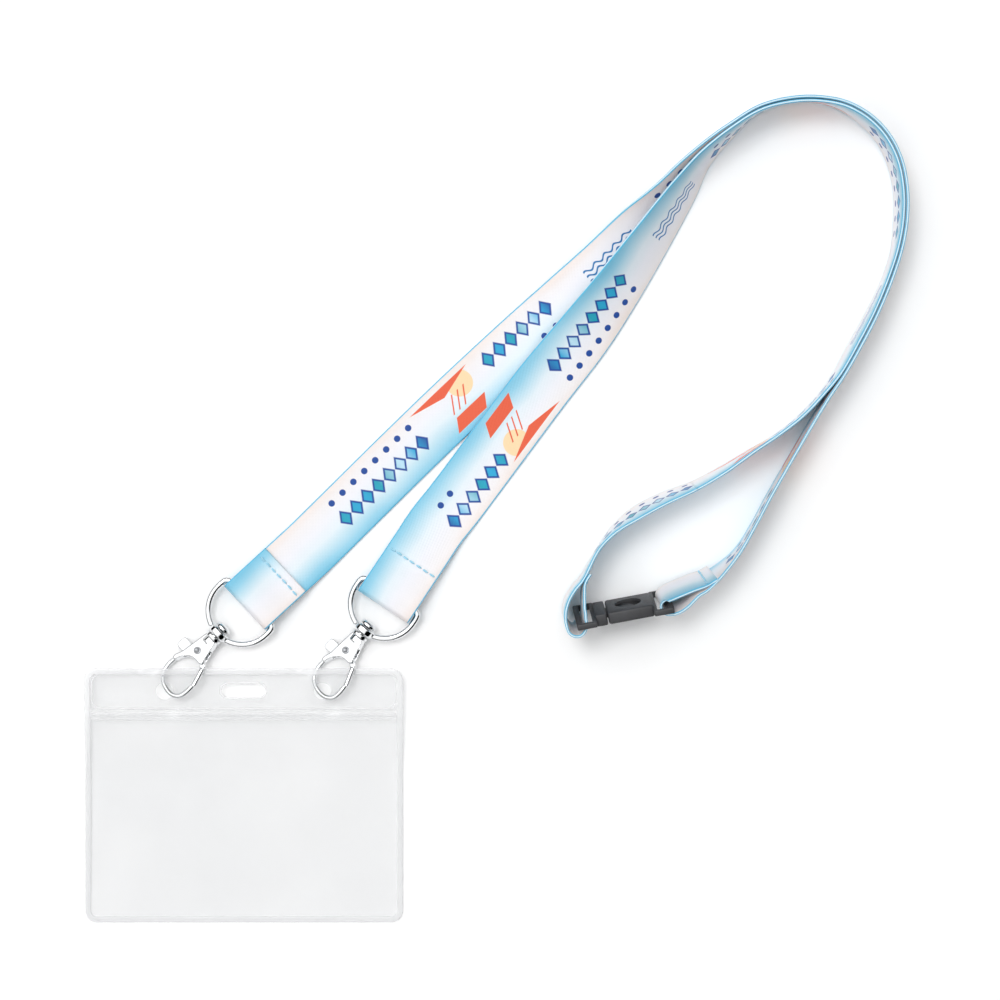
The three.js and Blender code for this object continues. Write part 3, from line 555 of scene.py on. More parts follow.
# ---- printed webbing ---------------------------------------------------------------
# The print repeats along the strap. Each motif is given where its middle comes, from the fold
# at the ring, and how far it lies from the strap's middle towards the blue side.
PRINT_REPEAT = 150
NAVY, AZURE, TEAL, PALE, CORAL, SAND = (
    "#1B4A9B", "#2BA9D9", "#1FA3B8", "#BFE3F5", "#EA6242", "#FBDDB0")
PRINT_EDGE = 0.07
MOTIFS = {
    "left": {"long_row": 64.0, "wedge_and_disc": 97.5, "short_row": 129.5, "ripples": 170.5},
    "right": {"short_row": 51.5, "wedge_and_disc": 79.0, "long_row": 118.0, "ripples": 165.0},
}
DYE_WANDER = {"over": 26, "by": 5.0}
SELVEDGE = {"starts": 0.6, "full": 0.3}
YARN = 0.7
PLAIN_BEFORE = 34
PLAIN_AFTER = {"left": 452, "right": 442}


def ink(tree, distance, edge, blur=PRINT_EDGE):
    """1 where the distance is below the edge and 0 beyond it, with a print's soft border."""
    return add(tree, "ShaderNodeMapRange", inputs={
        "Value": distance, "From Min": edge - blur, "From Max": edge + blur, "To Min": 1.0,
        "To Max": 0.0}).outputs[0]


def motif_group(name):
    """An empty group that takes a place along and across, and gives a colour and a mask."""
    tree = bpy.data.node_groups.new(name, "ShaderNodeTree")
    tree.interface.new_socket("Place", in_out="INPUT", socket_type="NodeSocketVector")
    tree.interface.new_socket("Colour", in_out="OUTPUT", socket_type="NodeSocketColor")
    tree.interface.new_socket("Mask", in_out="OUTPUT", socket_type="NodeSocketFloat")
    place = add(tree, "NodeGroupInput").outputs["Place"]
    parts = add(tree, "ShaderNodeSeparateXYZ", inputs={0: place})
    return tree, parts.outputs["X"], parts.outputs["Y"]


def near(tree, along, across, pitch, middle):
    """The vector from the nearest of a row's centres, which lie a pitch apart."""
    cell = add(tree, "ShaderNodeMath", {"operation": "WRAP"}, {
        0: along, 1: pitch / 2, 2: -pitch / 2}).outputs[0]
    aside = add(tree, "ShaderNodeMath", {"operation": "SUBTRACT"}, {0: across, 1: middle})
    return add(tree, "ShaderNodeCombineXYZ", inputs={0: cell, 1: aside.outputs[0]}).outputs[0]


def within(tree, along, length):
    reach = add(tree, "ShaderNodeMath", {"operation": "ABSOLUTE"}, {0: along}).outputs[0]
    return ink(tree, reach, length / 2)


def row_motif(name, count, big_at, small_at, small_count, small_along=0.0):
    """A row of outlined diamonds in running blues, with a row of small navy dots beside it."""
    pitch, half_long, half_wide, fill_share, dot = 5.1, 2.5, 3.3, 0.68, 1.1
    tree, along, across = motif_group(name)
    shift = add(tree, "ShaderNodeMath", {"operation": "ADD"}, {0: along, 1: pitch / 2}).outputs[0]
    offset = near(tree, shift, across, pitch, big_at)
    size = add(tree, "ShaderNodeVectorMath", {"operation": "ABSOLUTE"}, {0: offset})
    diamond = add(tree, "ShaderNodeVectorMath", {"operation": "DOT_PRODUCT"}, {
        0: size.outputs[0], 1: (1 / half_long, 1 / half_wide, 0)}).outputs["Value"]
    length = count * pitch
    big = add(tree, "ShaderNodeMath", {"operation": "MULTIPLY"}, {
        0: ink(tree, diamond, 1.0), 1: within(tree, along, length)}).outputs[0]
    run = add(tree, "ShaderNodeMapRange", inputs={
        "Value": along, "From Min": -length / 2, "From Max": length / 2}).outputs[0]
    fill = colour_ramp(tree, run, [
        (0.0, TEAL), (0.25, AZURE), (0.45, TEAL), (0.7, PALE), (0.85, AZURE), (1.0, NAVY)])
    outlined = add(tree, "ShaderNodeMix", {"data_type": "RGBA"}, {
        0: ink(tree, diamond, fill_share), 6: linear(NAVY), 7: fill})
    beside = add(tree, "ShaderNodeMath", {"operation": "SUBTRACT"}, {
        0: along, 1: small_along}).outputs[0]
    half_step = add(tree, "ShaderNodeMath", {"operation": "ADD"}, {0: beside, 1: pitch / 2})
    small = near(tree, half_step.outputs[0], across, pitch, small_at)
    away = add(tree, "ShaderNodeVectorMath", {"operation": "LENGTH"}, {0: small})
    dots = add(tree, "ShaderNodeMath", {"operation": "MULTIPLY"}, {
        0: ink(tree, away.outputs["Value"], dot), 1: within(tree, beside, small_count * pitch)})
    colour = add(tree, "ShaderNodeMix", {"data_type": "RGBA"}, {
        0: dots.outputs[0], 6: outlined.outputs[2], 7: linear(NAVY)})
    mask = add(tree, "ShaderNodeMath", {"operation": "MAXIMUM"}, {0: big, 1: dots.outputs[0]})
    add(tree, "NodeGroupOutput", inputs={0: colour.outputs[2], 1: mask.outputs[0]})
    return tree


def ripple_motif():
    """Three even ripples side by side."""
    length, pitch, swing, spacing, line, middle = 22, 4.6, 0.6, 1.9, 0.33, -1.5
    tree, along, across = motif_group("ripples")
    turn = add(tree, "ShaderNodeMath", {"operation": "MULTIPLY"}, {
        0: along, 1: 2 * math.pi / pitch})
    wave = add(tree, "ShaderNodeMath", {"operation": "SINE"}, {0: turn.outputs[0]})
    aside = add(tree, "ShaderNodeMath", {"operation": "MULTIPLY_ADD"}, {
        0: wave.outputs[0], 1: -swing, 2: across})
    centred = add(tree, "ShaderNodeMath", {"operation": "SUBTRACT"}, {
        0: aside.outputs[0], 1: middle}).outputs[0]
    cell = add(tree, "ShaderNodeMath", {"operation": "WRAP"}, {
        0: centred, 1: spacing / 2, 2: -spacing / 2})
    near_line = add(tree, "ShaderNodeMath", {"operation": "ABSOLUTE"}, {0: cell.outputs[0]})
    lines = add(tree, "ShaderNodeMath", {"operation": "MULTIPLY"}, {
        0: ink(tree, near_line.outputs[0], line), 1: within(tree, centred, 3 * spacing)})
    mask = add(tree, "ShaderNodeMath", {"operation": "MULTIPLY"}, {
        0: lines.outputs[0], 1: within(tree, along, length)})
    colour = add(tree, "ShaderNodeMix", {"data_type": "RGBA"}, {
        0: 0.35, 6: linear(NAVY), 7: linear(AZURE)})
    add(tree, "NodeGroupOutput", inputs={0: colour.outputs[2], 1: mask.outputs[0]})
    return tree


def wedge_motif():
    """A long coral wedge by the white edge with a sand coloured disc behind it, a slanted
    coral bar across from it, and thin strokes between them."""
    low, wedge_half, wedge_height = -7.6, 13.0, 3.4
    disc_at, disc = (7.0, -4.4, 0), 4.5
    bar_at, bar_half, slant = (3.2, 5.6), (6.4, 2.2), 0.7
    strokes = {"pitch": 2.6, "half": 0.3, "middle": -0.6, "length": 5.6, "from": 2.6}
    tree, along, across = motif_group("wedge_and_disc")
    far = add(tree, "ShaderNodeMath", {"operation": "ABSOLUTE"}, {0: along}).outputs[0]
    top = add(tree, "ShaderNodeMath", {"operation": "MULTIPLY_ADD"}, {
        0: far, 1: wedge_height / wedge_half, 2: across}).outputs[0]
    down = add(tree, "ShaderNodeMath", {"operation": "MULTIPLY"}, {0: across, 1: -1.0}).outputs[0]
    above_low = ink(tree, down, -low)
    wedge = add(tree, "ShaderNodeMath", {"operation": "MULTIPLY"}, {
        0: ink(tree, top, low + wedge_height), 1: above_low}).outputs[0]

    leaning = add(tree, "ShaderNodeMath", {"operation": "MULTIPLY_ADD"}, {
        0: across, 1: slant, 2: along}).outputs[0]
    bar_along = add(tree, "ShaderNodeMath", {"operation": "SUBTRACT"}, {
        0: leaning, 1: bar_at[0] + slant * bar_at[1]}).outputs[0]
    bar_across = add(tree, "ShaderNodeMath", {"operation": "SUBTRACT"}, {
        0: across, 1: bar_at[1]}).outputs[0]
    bar = add(tree, "ShaderNodeMath", {"operation": "MULTIPLY"}, {
        0: within(tree, bar_along, 2 * bar_half[0]),
        1: within(tree, bar_across, 2 * bar_half[1])}).outputs[0]

    from_strokes = add(tree, "ShaderNodeMath", {"operation": "SUBTRACT"}, {
        0: leaning, 1: strokes["from"]}).outputs[0]
    cell = add(tree, "ShaderNodeMath", {"operation": "WRAP"}, {
        0: from_strokes, 1: strokes["pitch"] / 2, 2: -strokes["pitch"] / 2}).outputs[0]
    level = add(tree, "ShaderNodeMath", {"operation": "SUBTRACT"}, {
        0: across, 1: strokes["middle"]}).outputs[0]
    stroke = add(tree, "ShaderNodeMath", {"operation": "MULTIPLY"}, {
        0: within(tree, cell, 2 * strokes["half"]), 1: within(tree, level, strokes["length"])})
    few = add(tree, "ShaderNodeMath", {"operation": "MULTIPLY"}, {
        0: stroke.outputs[0], 1: within(tree, from_strokes, 3 * strokes["pitch"])}).outputs[0]

    place = add(tree, "ShaderNodeCombineXYZ", inputs={0: along, 1: across})
    away = add(tree, "ShaderNodeVectorMath", {"operation": "DISTANCE"}, {
        0: place.outputs[0], 1: disc_at})
    sun = add(tree, "ShaderNodeMath", {"operation": "MULTIPLY"}, {
        0: ink(tree, away.outputs["Value"], disc), 1: above_low})
    solid = add(tree, "ShaderNodeMath", {"operation": "MAXIMUM"}, {0: wedge, 1: bar})
    coral = add(tree, "ShaderNodeMath", {"operation": "MAXIMUM"}, {0: solid.outputs[0], 1: few})
    colour = add(tree, "ShaderNodeMix", {"data_type": "RGBA"}, {
        0: coral.outputs[0], 6: linear(SAND), 7: linear(CORAL)})
    mask = add(tree, "ShaderNodeMath", {"operation": "MAXIMUM"}, {
        0: coral.outputs[0], 1: sun.outputs[0]})
    add(tree, "NodeGroupOutput", inputs={0: colour.outputs[2], 1: mask.outputs[0]})
    return tree


def all_motifs():
    return {
        "long_row": row_motif("long_row", 8, 1.4, -5.4, 8),
        "short_row": row_motif("short_row", 6, -3.6, 3.2, 2, 9.0),
        "ripples": ripple_motif(),
        "wedge_and_disc": wedge_motif(),
    }


def webbing(side, motifs):
    """Satin-woven polyester webbing, dye printed: a soft sheen, a fine grid of yarns with painted
    shade in its hollows, and a colour that runs from white with a breath of peach at one edge to light
    blue at the other, on both faces. The woven edges are light blue with a paler middle."""
    material, tree, shader = new_material("printed_polyester_webbing_" + side)
    lie = add(tree, "ShaderNodeUVMap", {"uv_map": "lie"}).outputs[0]
    parts = add(tree, "ShaderNodeSeparateXYZ", inputs={0: lie})
    along, across = parts.outputs["X"], parts.outputs["Y"]
    face = add(tree, "ShaderNodeAttribute", {"attribute_name": "face"}).outputs["Fac"]
    blue_way = -1.0 if side == "left" else 1.0
    turned = add(tree, "ShaderNodeMath", {"operation": "MULTIPLY"}, {0: face, 1: blue_way})
    blue = add(tree, "ShaderNodeMath", {"operation": "MULTIPLY"}, {
        0: across, 1: turned.outputs[0]}).outputs[0]

    slow = add(tree, "ShaderNodeTexNoise", {"noise_dimensions": "2D"}, {
        "Vector": lie, "Scale": 1 / DYE_WANDER["over"], "Detail": 1})
    wander = add(tree, "ShaderNodeMath", {"operation": "MULTIPLY_ADD"}, {
        0: slow.outputs["Fac"], 1: DYE_WANDER["by"], 2: -DYE_WANDER["by"] / 2})
    dye = add(tree, "ShaderNodeMath", {"operation": "ADD"}, {0: blue, 1: wander.outputs[0]})
    share = add(tree, "ShaderNodeMapRange", inputs={
        "Value": dye.outputs[0], "From Min": -STRAP_WIDTH / 2, "From Max": STRAP_WIDTH / 2})
    colour = colour_ramp(tree, share.outputs[0], [
        (0.0, "#F4E8E2"), (0.16, "#F4F0F1"), (0.38, "#F1F2F8"), (0.58, "#E6F1F8"),
        (0.74, "#C3E3F1"), (0.88, "#9AD3EA"), (1.0, "#7DC6E3")])

    printed = within(tree, add(tree, "ShaderNodeMath", {"operation": "SUBTRACT"}, {
        0: along, 1: (PLAIN_BEFORE + PLAIN_AFTER[side]) / 2}).outputs[0],
        PLAIN_AFTER[side] - PLAIN_BEFORE)
    for name, middle in MOTIFS[side].items():
        near_middle = add(tree, "ShaderNodeMath", {"operation": "SUBTRACT"}, {0: along, 1: middle})
        cell = add(tree, "ShaderNodeMath", {"operation": "WRAP"}, {
            0: near_middle.outputs[0], 1: PRINT_REPEAT / 2, 2: -PRINT_REPEAT / 2})
        way = add(tree, "ShaderNodeMath", {"operation": "MULTIPLY"}, {
            0: cell.outputs[0], 1: -blue_way})
        place = add(tree, "ShaderNodeCombineXYZ", inputs={0: way.outputs[0], 1: blue})
        motif = add(tree, "ShaderNodeGroup", {"node_tree": motifs[name]}, {0: place.outputs[0]})
        mask = add(tree, "ShaderNodeMath", {"operation": "MULTIPLY"}, {
            0: motif.outputs["Mask"], 1: printed})
        colour = add(tree, "ShaderNodeMix", {"data_type": "RGBA"}, {
            0: mask.outputs[0], 6: colour, 7: motif.outputs["Colour"]}).outputs[2]

    edge = add(tree, "ShaderNodeMath", {"operation": "ABSOLUTE"}, {0: across})
    at_edge = add(tree, "ShaderNodeMapRange", inputs={
        "Value": edge.outputs[0], "From Min": STRAP_WIDTH / 2 - SELVEDGE["starts"],
        "From Max": STRAP_WIDTH / 2 - SELVEDGE["full"]})
    depth = add(tree, "ShaderNodeMath", {"operation": "ABSOLUTE"}, {0: face})
    dyed = add(tree, "ShaderNodeMapRange", inputs={
        "Value": depth.outputs[0], "From Min": 0.2, "From Max": 0.55})
    selvedge = add(tree, "ShaderNodeMix", {"data_type": "RGBA"}, {
        0: dyed.outputs[0], 6: linear("#DFF0F8"), 7: linear("#5FBDE2")})
    colour = add(tree, "ShaderNodeMix", {"data_type": "RGBA"}, {
        0: at_edge.outputs[0], 6: colour, 7: selvedge.outputs[2]}).outputs[2]

    # The real yarns are 0.3 mm apart; they are drawn wider apart so that the grain shows.
    grid = []
    for direction in (along, across):
        turn = add(tree, "ShaderNodeMath", {"operation": "MULTIPLY"}, {
            0: direction, 1: 2 * math.pi / YARN})
        grid.append(add(tree, "ShaderNodeMath", {"operation": "SINE"}, {
            0: turn.outputs[0]}).outputs[0])
    weave = add(tree, "ShaderNodeMath", {"operation": "MULTIPLY"}, {0: grid[0], 1: grid[1]})
    # Painted shade: the colour is made up to 4% darker in the hollows of the yarn grid, the same grid
    # that makes the bump.
    weave_hollow_shade = add(tree, "ShaderNodeMath", {"operation": "MULTIPLY_ADD"}, {
        0: weave.outputs[0], 1: 0.02, 2: 0.98})
    shaded = add(tree, "ShaderNodeMix", {"data_type": "RGBA", "blend_type": "MULTIPLY"}, {
        0: 1.0, 6: colour, 7: weave_hollow_shade.outputs[0]})
    tree.links.new(shaded.outputs[2], shader.inputs["Base Color"])
    shader.inputs["Roughness"].default_value = 0.55
    shader.inputs["Specular IOR Level"].default_value = 0.35
    shader.inputs["Sheen Weight"].default_value = 0.2
    shader.inputs["Sheen Roughness"].default_value = 0.4
    bumped(tree, shader, weave.outputs[0], 0.03)
    return material


# ---- straps: where they lie --------------------------------------------------------
LAYER_HALF = (STRAP_THICKNESS + LAYER_GAP) / 2
WRAP_RADIUS = RING_WIRE / 2 + LAYER_GAP + STRAP_THICKNESS / 2
BUCKLE_LEAN = math.radians(BUCKLE["lean"])
LOOP_HALF = LOOP_OPENING / 2 + LOOP_ARM
BUCKLE_Z = (TABLE_GAP + LOOP_HALF * math.cos(BUCKLE_LEAN)
            + LOOP_THICKNESS / 2 * math.sin(BUCKLE_LEAN))


def smooth_step(value, low, high):
    share = min(1, max(0, (value - low) / (high - low)))
    return share * share * (3 - 2 * share)


def lean_height(lean):
    """Height of webbing that leans by `lean` and touches the table with its lower edge."""
    return (STRAP_WIDTH / 2 * math.sin(lean) + STRAP_THICKNESS / 2 * abs(math.cos(lean))
            + TABLE_GAP)


BESIDE_RING = (RING_BAR_AT + 1, 19.5, 23.6)
STRAP_FLAT_AT = 50
AFTER_SEAM = (33, 42)
LAYERS_CLOSE_OVER = 8


def hook_loop(clip):
    """Stations of the sewn loop round the ring's bar: tail, fold and start of the strap."""
    turn = math.radians(clip["turn"])
    along = np.array([math.cos(turn), math.sin(turn), 0])
    left = np.array([-math.sin(turn), math.cos(turn), 0])
    slope = math.sin(math.radians(PITCH))
    rest = lean_height(0) + (LAYER_HALF if clip["tail_on_top"] else 0)
    side = 1 if clip["tail_on_top"] else -1

    def middle(s):
        down = smooth_step(s, RING_BAR_AT, STRAP_FLAT_AT)
        return (SWIVEL_HEIGHT + slope * min(s, RING_BAR_AT)) * (1 - down) + rest * down

    def apart(s):
        close = min(1, max(0, (s - BESIDE_RING[0]) / LAYERS_CLOSE_OVER))
        return WRAP_RADIUS * (1 - close) + LAYER_HALF * close

    def at(s, height):
        centre = np.array([clip["x"], clip["y"], 0]) + along * s - left * clip["shift"]
        return centre + UP * height, left

    fold_centre = clip["fold_at"] + WRAP_RADIUS + STRAP_THICKNESS / 2
    fold_height = middle(fold_centre)
    tail = [at(s, middle(s) + side * apart(s))
            for s in (TAIL_FROM_SWIVEL, SEAM_FROM_SWIVEL, *reversed(BESIDE_RING))]
    fold = []
    for degrees in (90, 60, 20, -20, -60, -90):
        angle = math.radians(degrees)
        fold.append(at(fold_centre - WRAP_RADIUS * math.cos(angle),
                       fold_height + side * WRAP_RADIUS * math.sin(angle)))
    main = [at(s, middle(s) - side * apart(s))
            for s in (*BESIDE_RING, SEAM_FROM_SWIVEL, *AFTER_SEAM)]
    return tail + fold + main


def laid_run(run, offset=0.0):
    """Stations of a listed run, with the webbing leaning to the left of its way."""
    flat = [np.array([x, y, 0.0]) for x, y, lean in run]
    stations = []
    for i, (x, y, degrees) in enumerate(run):
        way = flat[min(i + 1, len(run) - 1)] - flat[max(i - 1, 0)]
        way /= np.linalg.norm(way)
        lean = math.radians(degrees)
        across = np.array([-way[1], way[0], 0]) * math.cos(lean) + UP * math.sin(lean)
        face = np.cross(way, across)
        stations.append((flat[i] + UP * lean_height(lean) + face * offset, across))
    return stations


def buckle_loop(places):
    """Stations of the sewn loop that hangs on the buckle's bar and leans there as it does."""
    turn = math.radians(BUCKLE["turn"])
    along = np.array([math.cos(turn), math.sin(turn), 0])
    north = np.array([-math.sin(turn), math.cos(turn), 0])
    centre = np.array([BUCKLE["x"], BUCKLE["y"], BUCKLE_Z])
    stations = []
    for a, n, *own in places:
        lean = math.radians(own[0] if own else BUCKLE["lean"])
        across = UP * math.cos(lean) - north * math.sin(lean)
        stations.append((centre + along * a + north * n, across))
    return stations


PAIR_OFFSET = (STRAP_THICKNESS + PAIR_GAP) / 2
HOOK_STATIONS = 17
TAIL_SEAM_STATION = 1
FOLD_STATION = 7
SEAM_STATION = HOOK_STATIONS - 3
STILL_RETURN_STATIONS = 5
STRAPS = {
    "left": {"run": LEFT_RUN, "pair_side": -1, "back": LEFT_RETURN, "loop": LEFT_LOOP,
             "seam": LEFT_SEAM},
    "right": {"run": RIGHT_RUN, "pair_side": 1, "back": RIGHT_RETURN, "loop": RIGHT_LOOP,
              "seam": RIGHT_SEAM},
}


def strap_stations(side):
    strap = STRAPS[side]
    return [*hook_loop(CLIPS[side]), *laid_run(strap["run"]),
            *laid_run(SHARED_RUN, strap["pair_side"] * PAIR_OFFSET),
            *laid_run(strap["back"]), *buckle_loop(strap["loop"])]


# ---- straps: mesh ------------------------------------------------------------------
SAMPLE = 0.8
FEWEST_STEPS = 5
FACE_PARTS = 14
EDGE_ROUND = 0.4
PUCKER = {"depth": 0.5, "reach": 1.6, "pitch": 2.7, "even": 0.6}


def webbing_section():
    """Points round the webbing: across, depth, and which face from 1 (printed) to -1."""
    half, thick = STRAP_WIDTH / 2, STRAP_THICKNESS / 2
    across = np.linspace(half - EDGE_ROUND, EDGE_ROUND - half, FACE_PARTS + 1)
    upper = [(a, thick, 1.0) for a in across]
    edge = []
    for degrees in (60, 30, 0, -30, -60):
        angle = math.radians(degrees)
        edge.append((-(half - EDGE_ROUND) - EDGE_ROUND * math.cos(angle),
                     thick * math.sin(angle), math.sin(angle)))
    lower = [(-a, -thick, -1.0) for a in across]
    other = [(-a, -d, -f) for a, d, f in edge]
    return np.array([*upper, *edge, *lower, *other])


def sampled(stations):
    """Finely spaced places, edge directions, face directions and lengths along a strap, and
    the sample where each station lies."""
    centres = np.array([c for c, a in stations])
    acrosses = np.array([a for c, a in stations])
    chords = np.linalg.norm(np.diff(centres, axis=0), axis=1)
    steps = [max(FEWEST_STEPS, math.ceil(c / SAMPLE)) for c in chords]
    places, ways = curve_through(centres, steps)
    across = curve_through(acrosses, steps, even=True)[0]
    across -= ways * (across * ways).sum(1)[:, None]
    across /= np.linalg.norm(across, axis=1)[:, None]
    faces = np.cross(ways, across)
    length = np.concatenate([[0], np.cumsum(np.linalg.norm(np.diff(places, axis=0), axis=1))])
    starts = np.concatenate([[0], np.cumsum(steps)])
    return places, across, faces, length, starts


def strap_mesh(name, sample, first, last, zero, seams):
    """A closed ribbon of webbing between two samples, drawn in along each sewn row. `zero` is
    the length at the ring's fold."""
    places, across, faces, length = sample[:4]
    section = webbing_section()
    rows = range(first, last + 1)
    drawn = [sum(math.exp(-((length[i] - seam) / PUCKER["reach"]) ** 2) for seam in seams)
             for i in range(len(length))]
    pull = [1 - PUCKER["depth"] * (PUCKER["even"] + (1 - PUCKER["even"]) * math.cos(
        2 * math.pi * a / PUCKER["pitch"])) for a, d, f in section]
    points = [places[i] + across[i] * a + faces[i] * d * (1 - drawn[i] * (1 - pull[j]))
              for i in rows for j, (a, d, f) in enumerate(section)]
    count, sides = len(rows), len(section)
    quads = [(i * sides + j, i * sides + (j + 1) % sides, (i + 1) * sides + (j + 1) % sides,
              (i + 1) * sides + j) for i in range(count - 1) for j in range(sides)]
    caps = [tuple(range(sides)), tuple((count - 1) * sides + j for j in range(sides))]
    mesh = mesh_of(name, points, quads + caps)
    lie = np.array([(length[i] - zero, a) for i in rows for a, d, f in section])
    face = np.array([f for i in rows for a, d, f in section], np.float32)
    mesh.attributes.new("face", "FLOAT", "POINT").data.foreach_set("value", face)
    corners = np.zeros(len(mesh.loops), np.int32)
    mesh.loops.foreach_get("vertex_index", corners)
    mesh.uv_layers.new(name="lie").data.foreach_set("uv", lie[corners].ravel().astype(np.float32))
    return mesh


def make_straps(materials, thread):
    samples = {side: sampled(strap_stations(side)) for side in STRAPS}
    for side, sample in samples.items():
        length, starts = sample[3], sample[4]
        zero = length[starts[FOLD_STATION]]
        end = len(length) - 1
        loop_start = len(starts) - len(STRAPS[side]["loop"])
        seams = [length[starts[i]] for i in (
            TAIL_SEAM_STATION, SEAM_STATION, loop_start, loop_start + STRAPS[side]["seam"])]
        split = end
        if side == "right":
            split = starts[HOOK_STATIONS + len(RIGHT_RUN) + len(SHARED_RUN)
                           + STILL_RETURN_STATIONS]
        spans = [("webbing_" + side, 0, split)]
        if split < end:
            spans.append(("webbing_" + side + "_buckle_end", split, end))
        for name, first, last in spans:
            mesh = strap_mesh(name, sample, first, last, zero, seams)
            piece = show(name, mesh, materials[side])
            if name.endswith("buckle_end"):
                follow_male(piece)
            else:
                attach(piece, "root")
                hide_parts("strap_" + side)
    make_seams(samples, thread)


def follow_male(piece):
    """Bakes the piece's place into its mesh; it is not made to follow the male half."""
    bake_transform(piece)


# ---- sewn rows ---------------------------------------------------------------------
def stitch_tree():
    """Geometry nodes: a row of stitches between two points, each a short lens of thread that
    lies along the row, with a little unevenness."""
    tree = bpy.data.node_groups.new("stitch_row", "GeometryNodeTree")
    for name, kind in (("Start", "Vector"), ("End", "Vector"), ("Stitches", "Int"),
                       ("Stitch Length", "Float"), ("Thread Width", "Float"),
                       ("Wander", "Float"), ("Seed", "Int"), ("Thread", "Material")):
        tree.interface.new_socket(name, in_out="INPUT", socket_type="NodeSocket" + kind)
    tree.interface.new_socket("Geometry", in_out="OUTPUT", socket_type="NodeSocketGeometry")
    given = add(tree, "NodeGroupInput").outputs
    row = add(tree, "GeometryNodeMeshLine", {"mode": "END_POINTS"}, {
        "Count": given["Stitches"], "Start Location": given["Start"], "Offset": given["End"]})
    low = add(tree, "ShaderNodeVectorMath", {"operation": "SCALE"}, {
        0: (-1, -1, -1), "Scale": given["Wander"]})
    high = add(tree, "ShaderNodeVectorMath", {"operation": "SCALE"}, {
        0: (1, 1, 1), "Scale": given["Wander"]})
    jitter = add(tree, "FunctionNodeRandomValue", {"data_type": "FLOAT_VECTOR"}, {
        0: low.outputs[0], 1: high.outputs[0], "Seed": given["Seed"]})
    uneven = add(tree, "GeometryNodeSetPosition", inputs={
        "Geometry": row.outputs["Mesh"], "Offset": jitter.outputs[0]})
    ball = add(tree, "GeometryNodeMeshUVSphere", inputs={"Segments": 10, "Rings": 7, "Radius": 0.5})
    size = add(tree, "ShaderNodeCombineXYZ", inputs={
        0: given["Stitch Length"], 1: given["Thread Width"], 2: given["Thread Width"]})
    lens = add(tree, "GeometryNodeTransform", inputs={
        "Geometry": ball.outputs["Mesh"], "Scale": size.outputs[0]})
    span = add(tree, "ShaderNodeVectorMath", {"operation": "SUBTRACT"}, {
        0: given["End"], 1: given["Start"]})
    turn = add(tree, "FunctionNodeAlignRotationToVector", {"axis": "X"}, {
        "Vector": span.outputs[0]})
    placed = add(tree, "GeometryNodeInstanceOnPoints", inputs={
        "Points": uneven.outputs[0], "Instance": lens.outputs[0], "Rotation": turn.outputs[0]})
    real = add(tree, "GeometryNodeRealizeInstances", inputs={0: placed.outputs[0]})
    smooth = add(tree, "GeometryNodeSetShadeSmooth", inputs={0: real.outputs[0]})
    dressed = add(tree, "GeometryNodeSetMaterial", inputs={
        "Geometry": smooth.outputs[0], "Material": given["Thread"]})
    add(tree, "NodeGroupOutput", inputs={0: dressed.outputs[0]})
    return tree


def baked(tree, name, values):
    """The plain mesh that a geometry node tree makes with these named inputs."""
    holder = show(name, bpy.data.meshes.new(name + "_seed"))
    modifier = holder.modifiers.new("made", "NODES")
    modifier.node_group = tree
    sockets = {s.name: s.identifier for s in tree.interface.items_tree if s.in_out == "INPUT"}
    for key, value in values.items():
        modifier[sockets[key]] = value
    bpy.context.view_layer.update()
    mesh = bpy.data.meshes.new_from_object(
        holder.evaluated_get(bpy.context.evaluated_depsgraph_get()))
    bpy.data.objects.remove(holder)
    return show(name, mesh)


STITCH = {"count": 7, "length": 2.2, "width": 0.7, "margin": 1.2, "wander": 0.1, "proud": 0.22}
BUCKLE_SEAM_SEED = 10


def sew(tree, name, node, centre, across, outward, thread, seed):
    """One sewn row across the webbing, lying on the face that looks outward."""
    lifted = centre + outward * (STRAP_THICKNESS / 2 + STITCH["width"] * STITCH["proud"])
    half = STRAP_WIDTH / 2 - STITCH["margin"] - STITCH["length"] / 2
    ends = [Vector((lifted + across * half * way + SHIFT) * MM) for way in (-1, 1)]
    piece = baked(tree, name, {
        "Start": ends[0], "End": ends[1], "Stitches": STITCH["count"],
        "Stitch Length": STITCH["length"] * MM, "Thread Width": STITCH["width"] * MM,
        "Wander": STITCH["wander"] * MM, "Seed": seed, "Thread": thread})
    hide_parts(node)
    return piece


def make_seams(samples, thread):
    tree = stitch_tree()
    for seed, (side, sample) in enumerate(samples.items()):
        places, across, faces, _, starts = sample
        on_top = CLIPS[side]["tail_on_top"]
        station = starts[TAIL_SEAM_STATION if on_top else SEAM_STATION]
        outward = faces[station] * (1 if faces[station][2] > 0 else -1)
        row = sew(tree, "hook_loop_stitches_" + side, "hook_loop_thread_" + side,
                  places[station], across[station], outward, thread, seed)
        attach(row, "root")
        loop_start = len(starts) - len(STRAPS[side]["loop"])
        station = starts[loop_start + STRAPS[side]["seam"]]
        inward = places[starts[loop_start]] - places[station]
        outward = faces[station] * (-1 if faces[station] @ inward > 0 else 1)
        row = sew(tree, "buckle_loop_stitches_" + side, "buckle_loop_thread_" + side,
                  places[station], across[station], outward, thread, seed + BUCKLE_SEAM_SEED)
        if side == "right":
            follow_male(row)
        else:
            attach(row, "root")


# ---- clear holder ------------------------------------------------------------------
HOLDER_LEFT = HOLDER["centre_x"] - HOLDER["width"] / 2
HOLDER_RIGHT = HOLDER["centre_x"] + HOLDER["width"] / 2
HOLDER_BOTTOM = HOLDER["top_y"] - HOLDER["height"]
MOUTH_Y = HOLDER["top_y"] - HEADER_HEIGHT - MOUTH_GAP
HOLES = [(HOLDER["centre_x"] + side * HOLE_PITCH / 2, HOLDER["top_y"] - HOLE_FROM_TOP, clip)
         for side, clip in ((-1, CLIPS["left"]), (1, CLIPS["right"]))]


